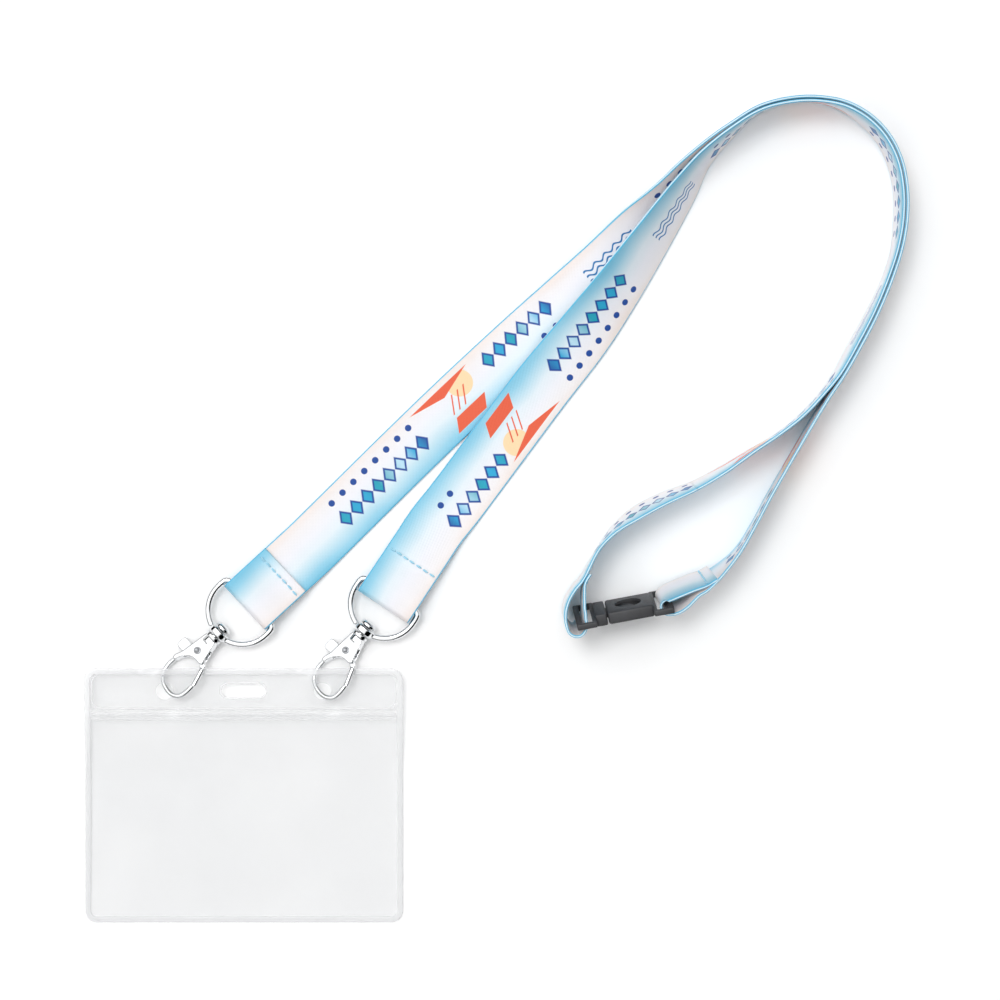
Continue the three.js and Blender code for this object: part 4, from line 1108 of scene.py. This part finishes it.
def holder_height(x, y):
    """Height of the face between the two sheets: flat pocket, ramp, lifted header, dimples."""
    height = SHEET + SHEET_GAP / 2 + smooth_step(y, *RAMP) * HEADER_LIFT
    for hole_x, hole_y, clip in HOLES:
        turn = math.radians(clip["hook_turn"])
        across = (x - hole_x) * math.sin(turn) - (y - hole_y) * math.cos(turn)
        near_hole = math.hypot(x - hole_x, y - hole_y) / DIMPLE_RADIUS
        if near_hole < 1:
            height -= DIMPLE_SLOPE * across * (1 - near_hole ** 2) ** 2
    return height


def pocket_rise(x, y):
    """The pocket sheet stands off the back sheet, most at its mouth."""
    side = min(1, abs(x - HOLDER["centre_x"]) / (HOLDER["width"] / 2 - POCKET_WELD))
    up = (y - HOLDER_BOTTOM - POCKET_WELD) / (MOUTH_Y - HOLDER_BOTTOM - POCKET_WELD)
    return POCKET_RISE * (1 - side ** 4) * math.sin(min(1, max(0, up)) * math.pi / POCKET_PEAK)


TRIM = 0.5  # each sheet starts this much too wide
PAST = 20  # cutting shapes reach this far past the sheets
SLOT_END_FLAT = 0.001
GRID_STEP = 1.25


def rounded_outline(left, bottom, right, top, radius, steps=8):
    outline = []
    for x, y, start in ((right - radius, top - radius, 0), (left + radius, top - radius, 90),
                        (left + radius, bottom + radius, 180), (right - radius, bottom + radius, 270)):
        for i in range(steps + 1):
            angle = math.radians(start + 90 * i / steps)
            outline.append((x + radius * math.cos(angle), y + radius * math.sin(angle)))
    return outline


def slot_outline():
    reach, half = SLOT["length"] / 2, SLOT["width"] / 2
    x, y = HOLDER["centre_x"], HOLDER["top_y"] - SLOT["from_top"]
    return rounded_outline(x - reach, y - half, x + reach, y + half, half - SLOT_END_FLAT)


def to_layout(piece):
    """From millimetres in the layout's axes to the frame."""
    return place_in(piece, Matrix.Translation(Vector(SHIFT) * MM))


def holder_sheet(name, low_y, high_y, height, material):
    """One sheet: a fine grid bent to the height, trimmed to the outline, holes and slot."""
    columns = np.linspace(HOLDER_LEFT - TRIM, HOLDER_RIGHT + TRIM,
                          round(HOLDER["width"] / GRID_STEP))
    rows = np.linspace(low_y, high_y, round((high_y - low_y) / GRID_STEP))
    count = len(columns)
    upper = [(x, y, height(x, y) + SHEET / 2) for y in rows for x in columns]
    lower = [(x, y, z - SHEET) for x, y, z in upper]
    half = len(upper)
    faces = []
    for r in range(len(rows) - 1):
        for c in range(count - 1):
            i = r * count + c
            faces += [(i, i + 1, i + count + 1, i + count),
                      (half + i, half + i + count, half + i + count + 1, half + i + 1)]
    rim = ([c for c in range(count)] + [r * count + count - 1 for r in range(1, len(rows))]
           + [(len(rows) - 1) * count + c for c in range(count - 2, -1, -1)]
           + [r * count for r in range(len(rows) - 2, 0, -1)])
    faces += [(a, half + a, half + b, b) for a, b in zip(rim, rim[1:] + rim[:1])]
    sheet = local_piece(name, upper + lower, faces)
    outline = plate("outline", rounded_outline(
        HOLDER_LEFT, HOLDER_BOTTOM, HOLDER_RIGHT, HOLDER["top_y"], HOLDER["corner"]), 2 * PAST)
    cut(sheet, [outline], "INTERSECT")
    if high_y > MOUTH_Y:
        cutters = [plate("slot", slot_outline(), 2 * PAST)]
        cutters += [rod("hole", HOLE_RADIUS, (x, y, -PAST), (x, y, PAST), 40) for x, y, _ in HOLES]
        cut(sheet, cutters, "DIFFERENCE")
    sharp_edges(sheet.data)
    sheet.data.materials.clear()
    sheet.data.materials.append(material)
    to_layout(sheet)
    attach(sheet, "root")
    return sheet


WELD_STEP = 0.6
BEAD_ROUND = 0.45  # of the bead's height


def weld_tree():
    """Geometry nodes: a flat weld bead that follows a rounded rectangle."""
    tree = bpy.data.node_groups.new("weld_bead", "GeometryNodeTree")
    for name, kind in (("Centre", "Vector"), ("Width", "Float"), ("Height", "Float"),
                       ("Corner", "Float"), ("Bead Width", "Float"), ("Bead Height", "Float"),
                       ("Vinyl", "Material")):
        tree.interface.new_socket(name, in_out="INPUT", socket_type="NodeSocket" + kind)
    tree.interface.new_socket("Geometry", in_out="OUTPUT", socket_type="NodeSocketGeometry")
    given = add(tree, "NodeGroupInput").outputs
    path = add(tree, "GeometryNodeCurvePrimitiveQuadrilateral", inputs={
        "Width": given["Width"], "Height": given["Height"]})
    round_path = add(tree, "GeometryNodeFilletCurve", {"mode": "POLY"}, {
        "Curve": path.outputs[0], "Count": 12, "Radius": given["Corner"],
        "Limit Radius": True})
    even = add(tree, "GeometryNodeResampleCurve", {"mode": "LENGTH"}, {
        "Curve": round_path.outputs[0], "Length": WELD_STEP * MM})
    bead = add(tree, "GeometryNodeCurvePrimitiveQuadrilateral", inputs={
        "Width": given["Bead Width"], "Height": given["Bead Height"]})
    half = add(tree, "ShaderNodeMath", {"operation": "MULTIPLY"}, {
        0: given["Bead Height"], 1: BEAD_ROUND})
    soft_bead = add(tree, "GeometryNodeFilletCurve", {"mode": "POLY"}, {
        "Curve": bead.outputs[0], "Count": 3, "Radius": half.outputs[0], "Limit Radius": True})
    solid = add(tree, "GeometryNodeCurveToMesh", inputs={
        "Curve": even.outputs[0], "Profile Curve": soft_bead.outputs[0]})
    moved = add(tree, "GeometryNodeTransform", inputs={
        "Geometry": solid.outputs[0], "Translation": given["Centre"]})
    smooth = add(tree, "GeometryNodeSetShadeSmooth", inputs={0: moved.outputs[0]})
    dressed = add(tree, "GeometryNodeSetMaterial", inputs={
        "Geometry": smooth.outputs[0], "Material": given["Vinyl"]})
    add(tree, "NodeGroupOutput", inputs={0: dressed.outputs[0]})
    return tree


PRESSED = {"by": 0.3, "within": 11, "up_to": 15}


def weld(tree, name, box, corner, bead, rise, material):
    """A weld bead on the holder's upper face: box is left, bottom, right and top. It is
    pressed flat where the hooks lie on it."""
    left, bottom, right, top = box
    piece = baked(tree, name, {
        "Centre": Vector(((left + right) / 2, (bottom + top) / 2, 0)) * MM,
        "Width": (right - left) * MM, "Height": (top - bottom) * MM, "Corner": corner * MM,
        "Bead Width": bead[0] * MM, "Bead Height": bead[1] * MM, "Vinyl": material})
    for vertex in piece.data.vertices:
        x, y = vertex.co.x / MM, vertex.co.y / MM
        from_hook = min(math.hypot(x - hole_x, y - hole_y) for hole_x, hole_y, _ in HOLES)
        pressed = PRESSED["by"] * (1 - smooth_step(from_hook, PRESSED["within"], PRESSED["up_to"]))
        vertex.co.z += (holder_height(x, y) + rise - pressed) * MM
    turn_out(piece.data)
    to_layout(piece)
    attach(piece, "root")
    return piece


# Width and height of each bead, and where its middle line runs from the holder's outline.
BEAD = {"rim": (1.9, 0.3), "header": (0.5, 0.22), "slot": (0.6, 0.26)}
RIM_FROM_EDGE = 0.1
HEADER_BEAD_FROM = {"left": 2.6, "right": 2.2, "top": 1.9, "foot": 13.4, "corner": 3.0}
SLOT_BEAD_FROM_SLOT = 0.45
RIDGE = {"height": 0.16, "lift": 0.12, "deep": 0.6, "from_side": 2.6, "corner": 0.3}
RIDGES = (("holder_mouth_ridge", 14.9, 0.5), ("holder_mouth_ridge_lower", 16.6, 0.35))
BEAD_LIFT = 0.05


def make_holder(sheet_material, weld_milk_and_highlight):
    half = (SHEET + SHEET_GAP) / 2
    top = HOLDER["top_y"]
    back = holder_sheet("holder_back_sheet_clear", HOLDER_BOTTOM - TRIM, top + TRIM,
                        lambda x, y: holder_height(x, y) - half, sheet_material)
    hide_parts("holder_back_sheet")
    header = holder_sheet("holder_header_strip_clear", top - HEADER_HEIGHT, top + TRIM,
                          lambda x, y: holder_height(x, y) + half, sheet_material)
    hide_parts("holder_header_strip")
    pocket = holder_sheet("holder_pocket_sheet_clear", HOLDER_BOTTOM - TRIM, MOUTH_Y,
                          lambda x, y: holder_height(x, y) + half + pocket_rise(x, y),
                          sheet_material)
    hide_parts("holder_pocket_sheet")

    tree = weld_tree()
    on_face = half + SHEET / 2
    inset = BEAD["rim"][0] / 2 + RIM_FROM_EDGE
    weld(tree, "holder_weld_rim", (HOLDER_LEFT + inset, HOLDER_BOTTOM + inset,
                                   HOLDER_RIGHT - inset, top - inset),
         HOLDER["corner"] - inset, BEAD["rim"], on_face + 2 * BEAD_LIFT, weld_milk_and_highlight)
    edge = HEADER_BEAD_FROM
    weld(tree, "holder_header_weld", (HOLDER_LEFT + edge["left"], top - edge["foot"],
                                      HOLDER_RIGHT - edge["right"], top - edge["top"]),
         edge["corner"], BEAD["header"], on_face + BEAD_LIFT, weld_milk_and_highlight)
    reach = SLOT["length"] / 2 + SLOT_BEAD_FROM_SLOT
    wide = SLOT["width"] / 2 + SLOT_BEAD_FROM_SLOT
    slot_y = top - SLOT["from_top"]
    weld(tree, "holder_slot_rim", (HOLDER["centre_x"] - reach, slot_y - wide,
                                   HOLDER["centre_x"] + reach, slot_y + wide),
         wide, BEAD["slot"], on_face + BEAD_LIFT, weld_milk_and_highlight)
    for name, from_top, bead in RIDGES:
        weld(tree, name, (HOLDER_LEFT + RIDGE["from_side"], top - from_top - RIDGE["deep"],
                          HOLDER_RIGHT - RIDGE["from_side"], top - from_top),
             RIDGE["corner"], (bead, RIDGE["height"]), on_face + RIDGE["lift"], weld_milk_and_highlight)


# ---- clips -------------------------------------------------------------------------
DRUM = {"radius": 3.4, "length": 2.7, "edge": 0.45}
DRUM_BAND = {"proud": 0.25, "half": 0.95, "edge": 0.3}
RIVET = {"shaft": 1.3, "head_radius": 2.8, "head_height": 1.5, "head_gap": 0.3, "edge": 0.7,
         "round": 0.35}
RIVET_SOCKET = {"in_ring": 0.2, "in_hook": 0.15, "depth": 3, "filled": 2.8}
COLLAR = {"radius": 3.05, "length": 1.2, "gap": 0.3, "wire_gap": 0.075, "edge": 0.25,
          "cheeks_in": 0.2}
NECK = {"radius": 2.1, "from": 0.5, "to": 3.4}
HOOK_START = DRUM["length"] / 2 + COLLAR["gap"]
BODY_THICKNESS = 3.4
SLOT_THICKNESS = 1.9
LEVER_SLOT = {"from": 6.2, "to": 14.0}
LEVER_THICKNESS = 1.1
LEVER_GAP = 0.1
HOOK_WIRE = 1.7
PIN = {"u": 9.0, "v": 0.3, "radius": 0.8, "head_radius": 1.2, "head_height": 0.25,
       "head_gap": 0.05, "edge": 0.09}
PIN_GAP = {"body": 0.1, "gate": 0.15}
PIN_DISH = [(0.75, 0.05), (0.55, -0.12), (0, -0.16)]
GATE_RADIUS = 11.7
GATE_TIP = (17.6, 7.75)
GATE_ARM = {"radius": 0.85, "u": 12.0, "v": 5.55, "past": (0.6, 0.25)}
NOSE = {"gap": 0.3, "u": 12, "v": 5.6}
THROUGH = 5  # cutting shapes reach this far past the hook, each way
# Grain of each casting's skin in millimetres, and how many times it is softened.
CAST = {"ring": (0.15, 4), "hook": (0.16, 4), "gate": (0.12, 3)}
CORNER_ANGLE = 50


def cast(piece, grain, soften):
    """Joins a piece's overlapping shells into one skin with soft cast edges."""
    return finished(piece, ("REMESH", {"mode": "VOXEL", "voxel_size": grain * MM,
                                       "use_smooth_shade": True}),
                    ("SMOOTH", {"factor": 0.5, "iterations": soften}))


def joined(name, parts):
    """Several closed shells as one piece."""
    work = bmesh.new()
    for part in parts:
        work.from_mesh(part.data)
        bpy.data.objects.remove(part)
    mesh = bpy.data.meshes.new(name)
    work.to_mesh(mesh)
    work.free()
    return show(name, mesh)


def ring_path(shift):
    """The ring's line: a half circle to the swivel, two corners and the straight bar."""
    ring_half = (RING_INNER_WIDTH + RING_WIRE) / 2
    bow_centre = HOOK_START - COLLAR["wire_gap"] - RING_WIRE / 2 - ring_half
    bow_steps = 12
    points = []
    for i in range(bow_steps + 1):
        angle = -math.pi / 2 + math.pi * i / bow_steps
        points.append((bow_centre + ring_half * math.cos(angle), ring_half * math.sin(angle)))
    corner = (-RING_BAR_AT + RING_CORNER, ring_half - RING_CORNER)
    turns = (30, 60, 90)
    for turn in turns:
        points.append((corner[0] - RING_CORNER * math.sin(math.radians(turn)),
                       corner[1] + RING_CORNER * math.cos(math.radians(turn))))
    points += [(-RING_BAR_AT, across) for across in (4, 0, -4)]
    for turn in reversed(turns):
        points.append((corner[0] - RING_CORNER * math.sin(math.radians(turn)),
                       -corner[1] - RING_CORNER * math.cos(math.radians(turn))))
    line = np.array([(u, v + shift, 0) for u, v in points])
    lead, steps = 2, 8
    wrapped = np.vstack([line[-lead:], line, line[:lead + 1]])
    places = curve_through(wrapped, [steps] * (len(wrapped) - 1))[0]
    return places[lead * steps:(lead + len(line)) * steps]


def drum_part(name, radius, half, edge):
    return lathe(name, rounded([(0, -half), (radius, -half), (radius, half), (0, half)], edge))


def make_ring(side, clip, material):
    wire = swept("wire", ring_path(clip["shift"]), circle(RING_WIRE / 2, 24), closed=True)
    turned = Matrix.Rotation(math.radians(clip["hook_turn"] - clip["turn"]), 4, "Z")
    length, radius = DRUM["length"], DRUM["radius"]
    drum = drum_part("drum", radius, length / 2, DRUM["edge"])
    band = drum_part("band", radius + DRUM_BAND["proud"], DRUM_BAND["half"], DRUM_BAND["edge"])
    body = joined("d_ring_bright_" + side, [wire, place_in(drum, turned), place_in(band, turned)])
    cast(body, *CAST["ring"])
    bore = rod("bore", RIVET["shaft"] + RIVET_SOCKET["in_ring"], (-length, 0, 0), (length, 0, 0))
    cut(body, [place_in(bore, turned)], "DIFFERENCE")
    sharp_edges(body.data, CORNER_ANGLE)
    dress_fitting(body, material, fitting_matrix(
        clip["x"], clip["y"], SWIVEL_HEIGHT, 0, PITCH, clip["turn"] + 180),
        "root", "d_ring_" + side)


def dress_fitting(piece, material, matrix, body, node):
    piece.data.materials.clear()
    piece.data.materials.append(material)
    place_in(piece, matrix)
    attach(piece, body)
    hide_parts(node)


def across_pin(name, radius, sides=32):
    """A rod round the gate pin's axis, right through the hook."""
    return rod(name, radius, (PIN["u"], PIN["v"], -THROUGH), (PIN["u"], PIN["v"], THROUGH), sides)


def hook_body(name):
    """The collar, the two cheeks with the lever's slot between them, and the bent wire."""
    in_collar = HOOK_START + COLLAR["length"] - COLLAR["cheeks_in"]
    cheeks = plate("cheeks", [
        (in_collar, -2.2), (12.9, -3.5), (15.6, -4.5), (16.8, -4.3), (16.8, -3.1), (15.0, -2.6),
        (13.4, -1.6), (12.3, -0.4), (11.7, 0.8), (11.5, 2.4), (11.6, 3.9), (10.9, 4.7),
        (9.6, 4.3), (in_collar, 2.4)], BODY_THICKNESS, bevel=0.3)
    slot = block("slot", (LEVER_SLOT["from"], -2 * THROUGH, -SLOT_THICKNESS / 2),
                 (LEVER_SLOT["to"], 2 * THROUGH, SLOT_THICKNESS / 2))
    cut(cheeks, [slot], "DIFFERENCE")
    line = np.array([(14.6, -3.6, 0), (17.2, -3.95, 0), (20.0, -3.9, 0), (22.8, -2.9, 0),
                     (24.6, -0.9, 0), (25.4, 1.8, 0), (25.2, 4.8, 0), (23.6, 7.0, 0),
                     (21.0, 7.7, 0), (17.6, 7.6, 0)])
    path = curve_through(line, [8] * (len(line) - 1))[0]
    wire = swept("wire", path, circle(HOOK_WIRE / 2, 24))
    radius, back = COLLAR["radius"], HOOK_START + COLLAR["length"]
    collar = lathe("collar", rounded(
        [(0, HOOK_START), (radius, HOOK_START), (radius, back), (0, back)], COLLAR["edge"]))
    neck = rod("neck", NECK["radius"], (HOOK_START + NECK["from"], 0, 0),
               (HOOK_START + NECK["to"], 0, 0))
    body = joined(name, [cheeks, wire, collar, neck])
    cast(body, *CAST["hook"])
    nose = across_pin("nose", GATE_RADIUS + NOSE["gap"], 96)
    cut(nose, [block("corner", (NOSE["u"], NOSE["v"], -THROUGH),
                     (6 * THROUGH, 2 * THROUGH, THROUGH))], "INTERSECT")
    pin_hole = across_pin("pin_hole", PIN["radius"] + PIN_GAP["body"])
    rivet_hole = rod("rivet_hole", RIVET["shaft"] + RIVET_SOCKET["in_hook"], (0, 0, 0),
                     (HOOK_START + RIVET_SOCKET["depth"], 0, 0))
    cut(body, [nose, pin_hole, rivet_hole], "DIFFERENCE")
    sharp_edges(body.data, CORNER_ANGLE)
    return body


def gate_lever(name):
    """The thumb tab, the lever between the cheeks and the arm that shuts the hook."""
    middle = -SLOT_THICKNESS / 2 + LEVER_GAP + LEVER_THICKNESS / 2
    lever = plate("lever", [
        (9.0, -1.6), (9.4, -2.6), (9.35, -3.6), (9.2, -5.0), (9.2, -6.2), (9.5, -7.0),
        (10.2, -7.35), (12.4, -7.4), (13.1, -7.1), (13.4, -6.3), (13.4, -4.4), (13.0, -3.1),
        (12.2, -1.8), (11.3, 0.6), (11.4, 3.6), (12.6, 4.8), (12.6, 6.4), (10.6, 5.6),
        (8.6, 2.6), (7.1, 1.3), (6.9, -0.4), (7.6, -1.4)], LEVER_THICKNESS, middle, 0.3)
    arm = rod("arm", GATE_ARM["radius"], (GATE_ARM["u"], GATE_ARM["v"], middle),
              (GATE_TIP[0] + GATE_ARM["past"][0], GATE_TIP[1] + GATE_ARM["past"][1], 0), 24)
    body = joined(name, [lever, arm])
    cast(body, *CAST["gate"])
    cut(body, [across_pin("reach", GATE_RADIUS, 96)], "INTERSECT")
    cut(body, [across_pin("hole", PIN["radius"] + PIN_GAP["gate"])], "DIFFERENCE")
    sharp_edges(body.data, CORNER_ANGLE)
    return body


def gate_pin(name):
    """The pin with its peened head: a dished dome."""
    face = BODY_THICKNESS / 2
    under = face + PIN["head_gap"]
    top = under + PIN["head_height"]
    body = lathe(name, rounded([
        (0, -face), (PIN["radius"], -face), (PIN["radius"], under), (PIN["head_radius"], under),
        (PIN["head_radius"], top), *((radius, top + rise) for radius, rise in PIN_DISH)],
        PIN["edge"]))
    body.data.transform(Matrix.Rotation(math.radians(-90), 4, "Y"))
    body.data.transform(Matrix.Translation(Vector((PIN["u"], PIN["v"], 0)) * MM))
    sharp_edges(body.data, CORNER_ANGLE)
    return body


def swivel_rivet(name):
    start = -DRUM["length"] / 2 - RIVET["head_gap"]
    back = start - RIVET["head_height"]
    tip = HOOK_START + RIVET_SOCKET["filled"]
    shaft, head, edge = RIVET["shaft"], RIVET["head_radius"], RIVET["edge"]
    body = lathe(name, rounded([
        (0, back), (head - edge, back), (head, back + edge), (head, start), (shaft, start),
        (shaft, tip), (0, tip)], RIVET["round"]))
    sharp_edges(body.data, CORNER_ANGLE)
    return body


def make_clips(chrome, steel):
    for side, clip in CLIPS.items():
        make_ring(side, clip, chrome)
        place = fitting_matrix(
            clip["x"], clip["y"], SWIVEL_HEIGHT, ROLL, PITCH, clip["hook_turn"] + 180)
        hook, gate = "hook_" + side, "gate_" + side
        dress_fitting(hook_body("hook_bright_" + side), chrome, place, hook,
                      "hook_body_" + side)
        dress_fitting(swivel_rivet("swivel_rivet_bright_" + side), chrome, place, hook,
                      "swivel_rivet_" + side)
        dress_fitting(gate_pin("gate_pin_bright_" + side), steel, place, hook,
                      "gate_pin_" + side)
        dress_fitting(gate_lever("gate_lever_bright_" + side), chrome, place, gate,
                      "gate_lever_" + side)
        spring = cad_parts["gate_spring_" + side]
        spring.data.materials.clear()
        spring.data.materials.append(steel)


# ---- buckle ------------------------------------------------------------------------
LOOP_ROOT = 0.3
BEVEL = {"loop": 0.45, "housing": 0.75, "collar": 0.6, "stem": 0.15}
BUCKLE_LENGTH = 2 * LOOP_LENGTH + COLLAR_LENGTH + CASING_GAP + HOUSING_LENGTH
BUCKLE_LEFT = -BUCKLE_LENGTH / 2
HOUSING_LEFT = BUCKLE_LEFT + LOOP_LENGTH + COLLAR_LENGTH + CASING_GAP
HOUSING_RIGHT = HOUSING_LEFT + HOUSING_LENGTH


def loop_frame(start, bar):
    """A square strap loop from its foot at `start` to its bar."""
    thick = LOOP_THICKNESS / 2
    way = 1 if bar > start else -1
    outer = sorted((start - way * LOOP_ROOT, bar))
    inner = sorted((start + way * LOOP_FOOT, bar - way * LOOP_BAR))
    square = block("loop", (outer[0], -thick, -LOOP_HALF), (outer[1], thick, LOOP_HALF),
                   BEVEL["loop"])
    hole = block("opening", (inner[0], -THROUGH, -LOOP_OPENING / 2),
                 (inner[1], THROUGH, LOOP_OPENING / 2))
    return cut(square, [hole], "DIFFERENCE")


def casing(start, end, bevel):
    thick = CASING_THICKNESS / 2
    return block("casing", (start, -thick, -CASING_WIDTH / 2), (end, thick, CASING_WIDTH / 2), bevel)


def buckle_male(name):
    collar_end = HOUSING_LEFT - CASING_GAP
    tip = HOUSING_LEFT + TONGUE["length"]
    thick = CASING_THICKNESS / 2 - CASING_WALL - TONGUE["gap"]
    head_at = tip - TONGUE["head"]
    body = loop_frame(BUCKLE_LEFT + LOOP_LENGTH, BUCKLE_LEFT)
    body.name = name
    stem = block("stem", (collar_end - TONGUE["root"], -thick, -TONGUE["width"] / 2),
                 (head_at, thick, TONGUE["width"] / 2), BEVEL["stem"])
    head = rod("head", TONGUE["head"], (head_at, -thick, 0), (head_at, thick, 0), 48)
    cut(body, [casing(BUCKLE_LEFT + LOOP_LENGTH, collar_end, BEVEL["collar"]), stem, head],
        "UNION")
    sharp_edges(body.data)
    return body


def buckle_female(name):
    body = casing(HOUSING_LEFT, HOUSING_RIGHT, BEVEL["housing"])
    body.name = name
    cut(body, [loop_frame(HOUSING_RIGHT, -BUCKLE_LEFT)], "UNION")
    thick = CASING_THICKNESS / 2 - CASING_WALL
    cavity = block("cavity", (HOUSING_LEFT - 1, -thick, -CAVITY["width"] / 2),
                   (HOUSING_LEFT + CAVITY["length"], thick, CAVITY["width"] / 2))
    window = rod("window", 1, (0, 0, 0), (0, 2 * THROUGH, 0), 64)
    window.data.transform(Matrix.Diagonal((WINDOW["along"], 1, WINDOW["across"], 1)))
    window.data.transform(Matrix.Translation(Vector((HOUSING_LEFT + WINDOW["at"], 0, 0)) * MM))
    cut(body, [cavity, window], "DIFFERENCE")
    sharp_edges(body.data)
    return body


def make_buckle(plastic):
    place = fitting_matrix(BUCKLE["x"], BUCKLE["y"], BUCKLE_Z, BUCKLE["lean"], 0, BUCKLE["turn"])
    dress_fitting(buckle_male("buckle_male_moulded"), plastic, place, "buckle_male",
                  "buckle_male")
    dress_fitting(buckle_female("buckle_female_moulded"), plastic, place, "root",
                  "buckle_female")


# ---- the whole object --------------------------------------------------------------
camera()
studio()
floor()
motifs = all_motifs()
webbings = {side: webbing(side, motifs) for side in STRAPS}
make_straps(webbings, sewing_thread())
# The welds' vinyl is whiter and less clear: partly the milkier welded plastic, partly a painted
# highlight for the light the beads catch.
make_holder(clear_vinyl("clear_soft_pvc", "#C6C8CB", "#E4E6E8", 0.075, 0.3),
            clear_vinyl("welded_soft_pvc_with_painted_highlight", "#F0F1F3", "#FFFFFF", 0.34, 0.15))
make_clips(chrome_plate(), rivet_steel())
make_buckle(black_acetal())
